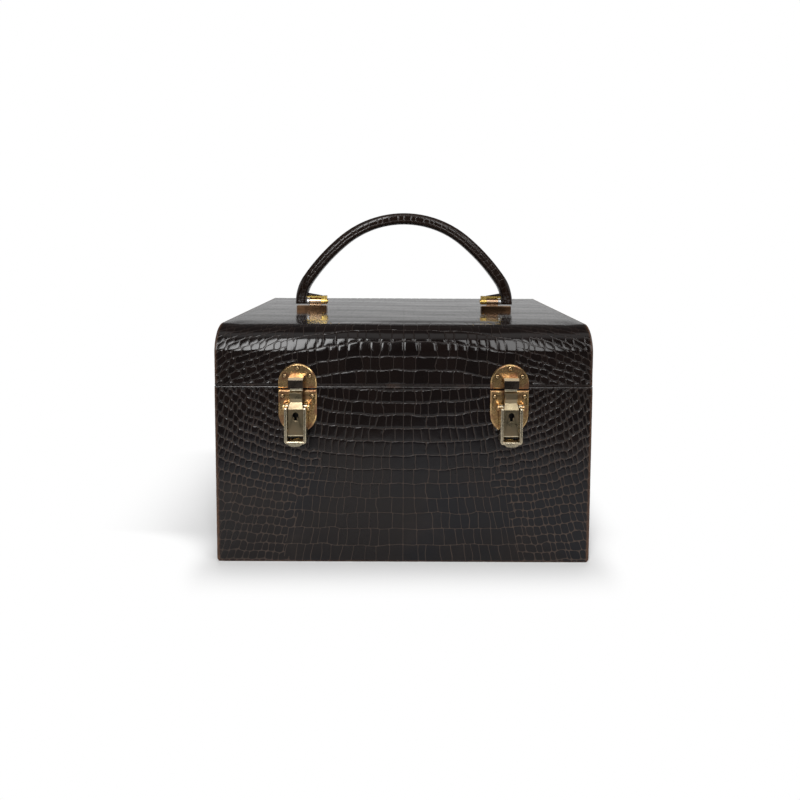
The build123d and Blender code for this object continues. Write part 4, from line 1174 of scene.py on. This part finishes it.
    def end_panel(self, side: str) -> bpy.types.Object:
        """Build one of the lid's end panels.

        Args:
            side: left or right.

        Returns:
            The panel.
        """
        way = -1.0 if side == "left" else 1.0
        front = -HALF_DEPTH + self.front_round * (1 - np.cos(np.linspace(0.0, math.pi / 2, 22)))
        back = HALF_DEPTH - self.back_round * (1 - np.cos(np.linspace(math.pi / 2, 0.0, 10)))
        depth = np.concatenate([front, np.linspace(front[-1], back[0], 170)[1:-1], back])
        high = self.top - rounded(depth + HALF_DEPTH, self.front_round)
        high = high - rounded(HALF_DEPTH - depth, self.back_round)
        y, part = np.meshgrid(depth, spaced(0.0, 1.0, 0.022, 0.025))
        z = self.bottom + part * (high - self.bottom)
        gap = self.outline_gap(y, z)
        x = way * (self.half_width - rounded(gap, self.end_edge))
        outer = np.stack([x, y, z], axis=-1)
        inner = np.stack([0 * x + way * (self.half_width - LEATHER), y, z], axis=-1)
        lift = np.zeros_like(outer)
        lift[..., 0] = way * covered(np.minimum(gap, z - self.bottom), EDGE_FADE)
        place, pitch = FlankCut().lay(y, z, 83.0 if side == "left" else 97.0)
        wear = (1.0 - covered(gap, 1.5)) * 0.35
        panel = HideGrid(outer, inner, lift, place, pitch, wear, 0.3 + 0 * z)
        if side == "left":
            panel = panel.flipped()
        return panel.build(f"lid_hide_{side}")

    def outline_gap(self, y: np.ndarray, z: np.ndarray) -> np.ndarray:
        """Return how far points of an end are from the lid's outline above and beside them.

        Args:
            y: The points' places in depth.
            z: Their heights.

        Returns:
            The distances.
        """
        gap = np.minimum(self.top - z, np.minimum(y + HALF_DEPTH, HALF_DEPTH - y))
        for inset, radius in ((y + HALF_DEPTH, self.front_round), (HALF_DEPTH - y, self.back_round)):
            short, over = inset - radius, z - (self.top - radius)
            round_gap = radius - np.hypot(np.minimum(short, 0.0), np.maximum(over, 0.0))
            gap = np.where((short < 0.0) & (over > 0.0), round_gap, gap)
        return np.maximum(gap, 0.0)

    def build(self) -> None:
        """Build the lid's leather and say what it stands for."""
        panels = {
            "lid_leather_wrap": self.wrap(),
            "lid_leather_left": self.end_panel("left"),
            "lid_leather_right": self.end_panel("right"),
        }
        for node, panel in panels.items():
            ScaleRelief(self.relief_depth).press(panel)
            settle(panel, "lid", "crocodile_leather", node)


@dataclass
class MirrorFrame:
    """The padded silk border that holds the lid's mirror."""

    inner_half_x: float = 95.0
    inner_half_y: float = 65.0
    width: float = 8.0
    face: float = 181.0
    lip: float = 1.6
    ceiling: float = 186.0
    corner: float = 7.0
    corner_steps: int = 8
    step: float = 1.3
    around: int = 16

    def stations(self) -> list[tuple[float, float, float]]:
        """Go once round the middle of the border.

        Returns:
            Each place's x and y, and the angle of the direction outwards.
        """
        half_x = self.inner_half_x + self.width / 2
        half_y = self.inner_half_y + self.width / 2
        flat_x, flat_y = half_x - self.corner, half_y - self.corner
        sides = (
            ((-flat_x, -half_y), (flat_x, -half_y), (flat_x, -flat_y), -90.0),
            ((half_x, -flat_y), (half_x, flat_y), (flat_x, flat_y), 0.0),
            ((flat_x, half_y), (-flat_x, half_y), (-flat_x, flat_y), 90.0),
            ((-half_x, flat_y), (-half_x, -flat_y), (-flat_x, -flat_y), 180.0),
        )
        places = []
        for first, last, centre, heading in sides:
            count = round(math.dist(first, last) / self.step)
            out = math.radians(heading)
            for part in range(count):
                x, y = (a + part / count * (b - a) for a, b in zip(first, last))
                places.append((x, y, out))
            for part in range(self.corner_steps):
                turn = out + math.pi / 2 * part / self.corner_steps
                x, y = centre[0] + self.corner * math.cos(turn), centre[1] + self.corner * math.sin(turn)
                places.append((x, y, turn))
        return places

    def build(self) -> None:
        """Build the border as a stuffed roll with small gathers."""
        low = self.face - self.lip
        middle, half_thick = (self.ceiling + low) / 2, (self.ceiling - low) / 2 - 0.25
        stations = self.stations()
        points = []
        for index, (x, y, out) in enumerate(stations):
            ruffle = 0.10 * math.sin(index * 1.35) + 0.07 * math.sin(index * 0.61 + 1.0)
            for part in range(self.around):
                angle = 2 * math.pi * part / self.around
                across = math.cos(angle) * (self.width / 2 - 0.2)
                down = math.sin(angle)
                squared = math.copysign(abs(down) ** 0.7, down)
                z = middle - squared * (half_thick + (ruffle if down > 0 else 0.0))
                points.append(Vector((x + across * math.cos(out), y + across * math.sin(out), z)) * MM)
        number = np.arange(len(points)).reshape(len(stations), self.around)
        faces = grid_faces(np.pad(number, (0, 1), mode="wrap").T)
        roll = mesh_object("mirror_border", points, faces, SILK)
        settle(roll, "lid", "lining", "mirror_frame")


@dataclass
class CarryingHandle:
    """The arched handle: crocodile over padding, turned in along its inner side."""

    leg_x: float = 101.68
    leg_straight_z: float = 201.48
    leg_foot_z: float = 199.7
    leg_parts: int = 5
    pivot_z: float = 202.3
    crown_radius: float = 92.8
    crown_angle: float = 39.7
    flank_radius: float = 190.0
    flank_angle: float = 16.1
    foot_radius: float = 38.3
    thick: float = 11.0
    strip: float = 1.2
    width: float = 15.0
    foot_width: float = 6.8
    foot_straight: float = 5.0
    foot_taper: float = 16.0
    outer_round: float = 4.6
    inner_round: float = 1.5
    scale_long: float = 6.6
    scale_high: float = 5.2
    first_row: float = 207.5
    seam_margin: float = 1.6
    relief_depth: float = 0.06
    satin: float = 0.15
    step: float = 0.75
    pad_rise: float = 3.7
    pad_toe_rise: float = 0.4
    pad_half_width: float = 2.5
    pad_inner_x: float = 81.58
    pad_heel_inset: float = 2.0
    pad_rings: int = 9
    pad_steps: int = 8
    strip_rise: float = 3.5
    strip_thick: float = 2.0
    inner_points: int = 5
    inner_turns: int = 4
    outer_turns: int = 9
    side_parts: int = 5
    outer_parts: int = 6

    def centre_line(self) -> list[tuple[float, float, float]]:
        """Follow the handle from its left foot to its right foot.

        Returns:
            Each place's x and z, and the angle of the way along it.
        """
        x, z, heading = -self.leg_x, self.leg_straight_z, math.pi / 2
        rise = z - self.leg_foot_z
        places = []
        for part in range(self.leg_parts):
            places.append((x, self.leg_foot_z + rise * part / self.leg_parts, heading))
        foot = (self.foot_radius, 90.0 - self.crown_angle - self.flank_angle)
        flank = (self.flank_radius, self.flank_angle)
        for radius, turn in (foot, flank, (self.crown_radius, 2 * self.crown_angle), flank, foot):
            sweep = math.radians(turn)
            count = max(4, round(radius * sweep / self.step))
            centre_x = x + radius * math.sin(heading)
            centre_z = z - radius * math.cos(heading)
            for part in range(count):
                angle = heading - sweep * part / count
                across, up = radius * math.sin(angle), radius * math.cos(angle)
                places.append((centre_x - across, centre_z + up, angle))
            heading -= sweep
            x = centre_x - radius * math.sin(heading)
            z = centre_z + radius * math.cos(heading)
        for part in range(self.leg_parts + 1):
            places.append((x, z + (self.leg_foot_z - z) * part / self.leg_parts, heading))
        return places

    def half_width(self, z: float) -> float:
        """Work out the handle's half width from front to back.

        Args:
            z: The height that it is wanted at.

        Returns:
            The half width.
        """
        share = min(max((z - self.pivot_z - self.foot_straight) / self.foot_taper, 0.0), 1.0)
        eased = share * share * (3 - 2 * share) * 0.35 + share * 0.65
        half = (self.foot_width + (self.width - self.foot_width) * eased) / 2
        if z < self.pivot_z:
            half = math.sqrt(max(half**2 - (self.pivot_z - z) ** 2, 0.3))
        return half

    def section(self, half: float) -> list[tuple[float, ...]]:
        """Return the section's outline, from the inner side round over the outer.

        Args:
            half: Half its width from front to back.

        Returns:
            Each point's place outwards and across, and its direction outwards and across. The last
            inner_points of them lie on the inner side.
        """
        out = self.thick / 2
        inner = -self.thick / 2 + self.strip
        outer_round = min(self.outer_round, half - 0.15)
        inner_round = min(self.inner_round, half - 0.15)
        corners = (
            (inner + inner_round, half - inner_round, inner_round, 180.0, self.inner_turns),
            (out - outer_round, half - outer_round, outer_round, 90.0, self.outer_turns),
            (out - outer_round, -half + outer_round, outer_round, 0.0, self.outer_turns),
            (inner + inner_round, -half + inner_round, inner_round, -90.0, self.inner_turns),
        )
        sides = (self.side_parts, self.outer_parts, self.side_parts, self.inner_points + 1)
        points = []
        for centre_out, centre_across, radius, start, count in corners:
            for part in range(count + 1):
                angle = math.radians(start - 90.0 * part / count)
                out_way, across_way = math.cos(angle), math.sin(angle)
                place = (centre_out + radius * out_way, centre_across + radius * across_way)
                points.append((*place, out_way, across_way))
        filled, ends = [], np.cumsum([corner[-1] + 1 for corner in corners]) - 1
        for index, point in enumerate(points):
            filled.append(point)
            for end, parts in zip(ends, sides):
                if index == end:
                    after = points[(index + 1) % len(points)]
                    for part in range(1, parts):
                        filled.append(tuple(a + (b - a) * part / parts for a, b in zip(point, after)))
        return filled

    def cover(self) -> bpy.types.Object:
        """Build the leather cover, closed at both feet.

        Returns:
            The cover, with the pads under it.
        """
        line = self.centre_line()
        hops = [math.dist(before[:2], here[:2]) for before, here in zip(line, line[1:])]
        runs = np.concatenate([[0.0], np.cumsum(hops)])
        points, lift, place, pitch, wear = [], [], [], [], []
        for (x, z, angle), run in zip(line, runs):
            outline = self.section(self.half_width(z))
            seam = len(outline) - self.inner_points - 1
            out_x, out_z = -math.sin(angle), math.cos(angle)
            girths = [0.0]
            for before, here in zip(outline, outline[1:]):
                girths.append(girths[-1] + math.dist(before[:2], here[:2]))
            for index, (out, across, out_way, across_way) in enumerate(outline):
                on_cover = 1.0 if index <= seam else 0.0
                edge = min(girths[index], girths[seam] - girths[index])
                row = (girths[index] - girths[seam] / 2) / self.scale_high + self.first_row
                points.append(Vector((x + out * out_x, -across, z + out * out_z)) * MM)
                lift.append((out_way * out_x, -across_way, out_way * out_z))
                place.append(((run - runs[-1] / 2) / self.scale_long, row, NO_FLANK))
                depth = on_cover * min(max(edge - self.seam_margin, 0.0), 1.0)
                pitch.append((self.scale_long, self.scale_high, depth))
                wear.append((0.07 + 0.2 * max(0.0, 1.0 - max(edge, 0.0) / 1.2)) * on_cover)
        faces = tube_faces(len(line), len(outline))
        for way in (-1.0, 1.0):
            pad_points, pad_faces = self.pad(way)
            faces.extend([[len(points) + corner for corner in face] for face in pad_faces])
            points.extend(pad_points)
            for point in pad_points:
                lift.append((0.0, 0.0, 0.0))
                place.append((point.x / MM / self.scale_long, point.z / MM / self.scale_high, NO_FLANK))
                pitch.append((self.scale_long, self.scale_high, 0.0))
                wear.append(0.1)
        made = mesh_object("handle_hide", points, faces, HANDLE_HIDE)
        for kind, values in ((Hide.PLACE, place), (Hide.PITCH, pitch), (Hide.LIFT, lift), (Hide.WEAR, wear)):
            write(made.data, kind, np.array(values))
        write(made.data, Hide.SATIN, np.full(len(wear), self.satin))
        return made

    def pad(self, way: float) -> tuple[list[Vector], list[list[int]]]:
        """Build the little leather pad between a yoke's strip and the handle.

        Args:
            way: -1 for the left one, 1 for the right one.

        Returns:
            Its points and faces.
        """
        base = self.pivot_z + self.strip_rise + self.strip_thick
        heel = self.leg_x - self.pad_heel_inset
        points = []
        for ring in range(self.pad_rings):
            share = ring / (self.pad_rings - 1)
            x = self.pad_inner_x + (heel - self.pad_inner_x) * share
            rise = self.pad_toe_rise + (self.pad_rise - self.pad_toe_rise) * share
            for part in range(self.pad_steps + 1):
                angle = math.pi * part / self.pad_steps
                up = abs(math.sin(angle)) ** 0.6 * rise
                points.append(Vector((way * x, math.cos(angle) * self.pad_half_width, base + up)) * MM)
        faces = tube_faces(self.pad_rings, self.pad_steps + 1)
        return points, faces if way > 0 else [face[::-1] for face in faces]

    def build(self) -> None:
        """Build the handle's leather and say what it stands for."""
        cover = self.cover()
        ScaleRelief(self.relief_depth).press(cover)
        settle(cover, "carrying_handle", "crocodile_leather", "handle_cover")


@dataclass
class TrayRibbons:
    """The two ribbon tabs that lift the tray."""

    inner_x: float = 139.2
    thick: float = 1.0
    cloth: float = 0.28
    low: float = 124.0
    high: float = 145.0
    loop: float = 1.2
    loop_rise: float = 1.0
    narrow_from: float = 139.0
    front: float = -8.7
    back: float = 9.3
    rows: int = 14
    straight_parts: int = 10
    loop_parts: int = 8

    def fold(self) -> list[tuple[float, float]]:
        """Follow the folded cloth up one side, over the loop and down the other.

        Returns:
            Each place across the fold and its height.
        """
        spread = (self.thick - self.cloth) / 2 - 0.04
        top = self.high - self.loop
        line = []
        for part in range(self.straight_parts + 1):
            share = part / self.straight_parts
            belly = 0.10 * math.sin(math.pi * share)
            line.append((spread * (0.35 + 0.65 * share) + belly * 0.3, self.low + (top - self.low) * share))
        down = [(-across, z) for across, z in line[::-1]]
        for part in range(1, self.loop_parts):
            angle = math.pi * part / self.loop_parts
            line.append((spread * math.cos(angle), top + self.loop_rise * math.sin(angle)))
        return line + down

    def ribbon(self, side: str) -> bpy.types.Object:
        """Build a ribbon folded double, its loop standing above the tray's wall.

        Args:
            side: left or right.

        Returns:
            The ribbon.
        """
        way = -1.0 if side == "left" else 1.0
        middle = self.inner_x + self.thick / 2
        line = self.fold()
        points = []
        for layer in (0.5, -0.5):
            for index, (across, z) in enumerate(line):
                before, after = line[max(index - 1, 0)], line[min(index + 1, len(line) - 1)]
                span = math.dist(before, after)
                out_x = (after[1] - before[1]) / span * self.cloth * layer
                out_z = -(after[0] - before[0]) / span * self.cloth * layer
                pull = 0.9 * max(0.0, (z - self.narrow_from) / 6.0) ** 2
                for y in np.linspace(self.front + pull, self.back - pull, self.rows):
                    points.append(Vector((way * (middle + across + out_x), y, z + out_z)) * MM)
        half = len(line) * self.rows
        number = np.arange(half).reshape(len(line), self.rows)
        rim = grid_rim(number)
        faces = grid_faces(number) + wall_faces(rim, rim + half)
        faces += [face[::-1] for face in grid_faces(number + half)]
        made = mesh_object(f"tray_ribbon_{side}", points, faces, TRAY_SILK)
        (self.back - self.front) * MM
        return made

    def build(self) -> None:
        """Build both ribbons and say what they stand for."""
        for side in SIDES:
            settle(self.ribbon(side), "lift_tray", "lining", "tray_tabs")


@dataclass
class Fittings:
    """The pieces that keep their own forms and only get finishes and softened edges."""

    metal_edge: float = 0.22
    board_edge: float = 0.30
    weld_reach: float = 0.002
    sharp_angle: float = 32.0

    def finishes(self) -> dict[Finish, tuple[str, ...]]:
        """Return the starts of the node names that each finish is for."""
        return {
            TRIM: ("body_leather_bottom", "body_rim_binding", "lid_rim_binding", "handle_lining"),
            SILK: ("body_lining_walls", "lid_lining"),
            TRAY_SILK: ("tray",),
            BOARD: ("tray_ledges", "body_carcass", "lid_carcass", "mirror_backing"),
            MIRROR: ("mirror_glass",),
            GILT_STRIKE: ("latch_strike",),
            GILT_PLATE: ("latch_base",),
            GILT_LEVER: ("lever", "hasp_pins"),
            GILT_HASP: ("hasp", "lever_pins"),
            GILT_BASE: ("hinge", "handle_base"),
            GILT_BARREL: ("handle_yoke", "handle_pin"),
            RIVET_BRASS: ("latch_rivets", "strike_rivets", "hinge_rivets"),
            NICKEL: ("handle_spacers",),
            STEEL_IN_PAINTED_SHADE: ("lock_case",),
            STEEL: ("lock_bolt", "handle_core", "handle_base_nuts"),
        }

    def soften(self, obj: bpy.types.Object, width: float) -> None:
        """Round a piece's sharp edges so that they catch light.

        Args:
            obj: The piece.
            width: The rounding in millimetres.
        """
        weld = obj.modifiers.new("joined_points", "WELD")
        weld.merge_threshold = self.weld_reach * MM
        bevel = obj.modifiers.new("softened_edges", "BEVEL")
        bevel.width = width * MM
        bevel.segments = 2
        bevel.limit_method = "ANGLE"
        bevel.angle_limit = math.radians(self.sharp_angle)
        bevel.harden_normals = False
        obj.modifiers.new("even_shading", "WEIGHTED_NORMAL").keep_sharp = True

    def dress(self, nodes: dict[str, bpy.types.Object]) -> None:
        """Give each carried-over node that a finish is listed for its finish.

        Args:
            nodes: The nodes by name.
        """
        widths = dict.fromkeys((SILK, TRAY_SILK), self.board_edge)
        for metal in (GILT_PLATE, GILT_STRIKE, GILT_LEVER, GILT_HASP, GILT_BARREL, GILT_BASE, STEEL, NICKEL):
            widths[metal] = self.metal_edge
        starts = [(start, finish) for finish, names in self.finishes().items() for start in names]
        starts.sort(key=lambda pair: -len(pair[0]))
        for name, obj in nodes.items():
            finish = next((given for start, given in starts if name.startswith(start)), None)
            if finish is None:
                continue
            if not obj.material_slots:
                obj.data.materials.append(finish.material())
            for holder in obj.material_slots:
                holder.material = finish.material()
            if finish in widths and not obj.hide_render:
                self.soften(obj, widths[finish])
        log.info("dressed %d carried-over nodes", len(nodes))


@dataclass
class Studio:
    """A pale sweep, four soft boxes and the camera."""

    lens: float = 26.73
    sensor: float = 36.0
    camera_y: float = -586.3
    camera_z: float = 265.8
    pitch: float = 3.66
    roll: float = 0.22
    shift_x: float = -0.005
    shift_y: float = -0.156
    surround: float = 0.25
    heart_z: float = 120.0
    floor_reach: float = 400.0
    floor_sides: int = 96
    shadow_half_x: float = 152.0
    shadow_front: float = -112.0
    shadow_front_end: float = -60.0
    clear_from: float = -8.0
    clear_to: float = 52.0

    def camera(self) -> None:
        """Set up the camera at the photograph's place."""
        data = bpy.data.cameras.new("camera")
        data.lens = self.lens
        data.sensor_width = self.sensor
        data.sensor_fit = "HORIZONTAL"
        data.shift_x = self.shift_x
        data.shift_y = self.shift_y
        data.clip_start = 0.01
        data.clip_end = 50.0
        made = put_in_scene("camera", data)
        tilt = Matrix.Rotation(math.radians(90.0 - self.pitch), 4, "X")
        turn = Matrix.Rotation(math.radians(self.roll), 4, "Z")
        made.matrix_world = Matrix.Translation((0.0, self.camera_y * MM, self.camera_z * MM)) @ tilt @ turn
        bpy.context.scene.camera = made

    def world(self) -> None:
        """Make the surroundings: white as seen, soft and even as light."""
        world = bpy.data.worlds.new("sweep")
        bpy.context.scene.world = world
        sheet = NodeSheet.cleared(world)
        rays = sheet.add("ShaderNodeLightPath", {})
        by_eye, by_gloss, by_glass = (
            Flow(sheet, rays.outputs[f"Is {kind} Ray"]) for kind in ("Camera", "Glossy", "Transmission")
        )
        _, back, up = sheet.split(sheet.read("ShaderNodeTexCoord", {}, "Generated"))
        card = up.ramp(-0.10, 0.45, 0.85, 0.10) * back.ramp(-0.72, 0.0)
        overhead = up.ramp(0.80, 0.95) * back.ramp(-0.1, 0.15, 0.8, 0.0)
        front = up.ramp(-0.12, 0.10, 0.09, 0.03)
        mirrored = sheet.math("MAXIMUM", sheet.math("MAXIMUM", card, overhead), front)
        strength = sheet.blend(sheet.math("MAXIMUM", by_gloss, by_glass), self.surround, mirrored)
        strength = sheet.blend(by_eye, strength, 1.0)
        light = sheet.read("ShaderNodeBackground", {"Color": (1.0, 1.0, 1.0, 1.0), "Strength": strength})
        sheet.add("ShaderNodeOutputWorld", {"Surface": light})

    def lamp(
        self,
        name: str,
        azimuth: float,
        elevation: float,
        away: float,
        size: tuple[float, float],
        level: float,
        mirrored: bool = True,
    ) -> None:
        """Hang a soft box that faces the case.

        Args:
            name: Its name.
            azimuth: Its direction in degrees, from the front towards the right.
            elevation: Its height in degrees.
            away: Its distance in metres.
            size: Its width and height in metres.
            level: How bright its face is, where 1 is white.
            mirrored: Whether polished surfaces show it.
        """
        data = bpy.data.lights.new(name, "AREA")
        data.shape = "RECTANGLE"
        data.size, data.size_y = size
        data.energy = level * math.pi * size[0] * size[1]
        made = put_in_scene(name, data)
        turn, lift = math.radians(azimuth), math.radians(elevation)
        heart = Vector((0.0, 0.0, self.heart_z * MM))
        place = heart + away * Vector(
            (math.sin(turn) * math.cos(lift), -math.cos(turn) * math.cos(lift), math.sin(lift))
        )
        facing = (heart - place).to_track_quat("-Z", "Y").to_matrix().to_4x4()
        made.matrix_world = Matrix.Translation(place) @ facing
        made.visible_camera = False
        made.visible_glossy = mirrored

    def floor_material(self) -> bpy.types.Material:
        """Make the floor's material: matte under the case, and white to the camera away from it.

        Returns:
            The material.
        """
        material = bpy.data.materials.new("pale_floor")
        sheet = NodeSheet.cleared(material)
        by_eye = sheet.read("ShaderNodeLightPath", {}, "Is Camera Ray")
        matte = sheet.read("ShaderNodeBsdfDiffuse", {"Color": (0.86, 0.86, 0.86, 1.0)})
        glow = sheet.read("ShaderNodeEmission", {"Color": (1.0, 1.0, 1.0, 1.0), "Strength": 1.0})
        x, y, _ = sheet.split(sheet.read("ShaderNodeNewGeometry", {}, "Position"))
        half_x, half_y = self.shadow_half_x * MM, HALF_DEPTH * MM
        front = (self.shadow_front * MM, self.shadow_front_end * MM)
        past_left = sheet.math("MAXIMUM", -half_x - x, 0.0) * y.ramp(*front, 1.8, 0.38)
        past_right = sheet.math("MAXIMUM", x - half_x, 0.0) * y.ramp(*front, 1.8, 1.0)
        past_side = sheet.math("MAXIMUM", past_left, past_right)
        past_end = sheet.math("MAXIMUM", abs(y) - half_y, 0.0)
        far = sheet.math("SQRT", past_side * past_side + past_end * past_end)
        share = far.ramp(self.clear_from * MM, self.clear_to * MM) * by_eye
        mixed = sheet.read("ShaderNodeMixShader", {0: share, 1: matte, 2: glow})
        sheet.add("ShaderNodeOutputMaterial", {"Surface": mixed})
        return material

    def floor(self) -> None:
        """Lay the pale floor."""
        turns = [2 * math.pi * side / self.floor_sides for side in range(self.floor_sides)]
        reach = self.floor_reach * MM
        mesh = bpy.data.meshes.new("floor")
        corners = [(reach * math.cos(turn), reach * math.sin(turn), 0.0) for turn in turns]
        mesh.from_pydata(corners, [], [list(range(self.floor_sides))])
        mesh.materials.append(self.floor_material())
        put_in_scene("floor", mesh)

    def build(self) -> None:
        """Set the whole studio up."""
        self.camera()
        self.world()
        self.floor()
        self.lamp("soft_box_left", -16.2, 31.0, 1.7, (0.28, 1.5), 11.5)
        self.lamp("soft_box_right", 15.0, 31.0, 1.7, (0.22, 1.4), 5.6)
        self.lamp("back_light", 176.0, 72.0, 1.6, (1.2, 1.0), 2.8, mirrored=False)
        self.lamp("side_light", 48.0, 40.0, 1.6, (0.55, 0.6), 5.0)
        bpy.context.scene.view_settings.view_transform = "Standard"
        log.info("studio is set")


def main() -> None:
    """Build every part of the case, then the studio."""
    logging.basicConfig(level=logging.INFO, format="%(name)s: %(message)s")
    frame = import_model()
    CaseBody().build()
    CaseLid().build()
    MirrorFrame().build()
    CarryingHandle().build()
    TrayRibbons().build()
    Fittings().dress(frame["nodes"])
    Studio().build()


if __name__ == "__main__":
    main()
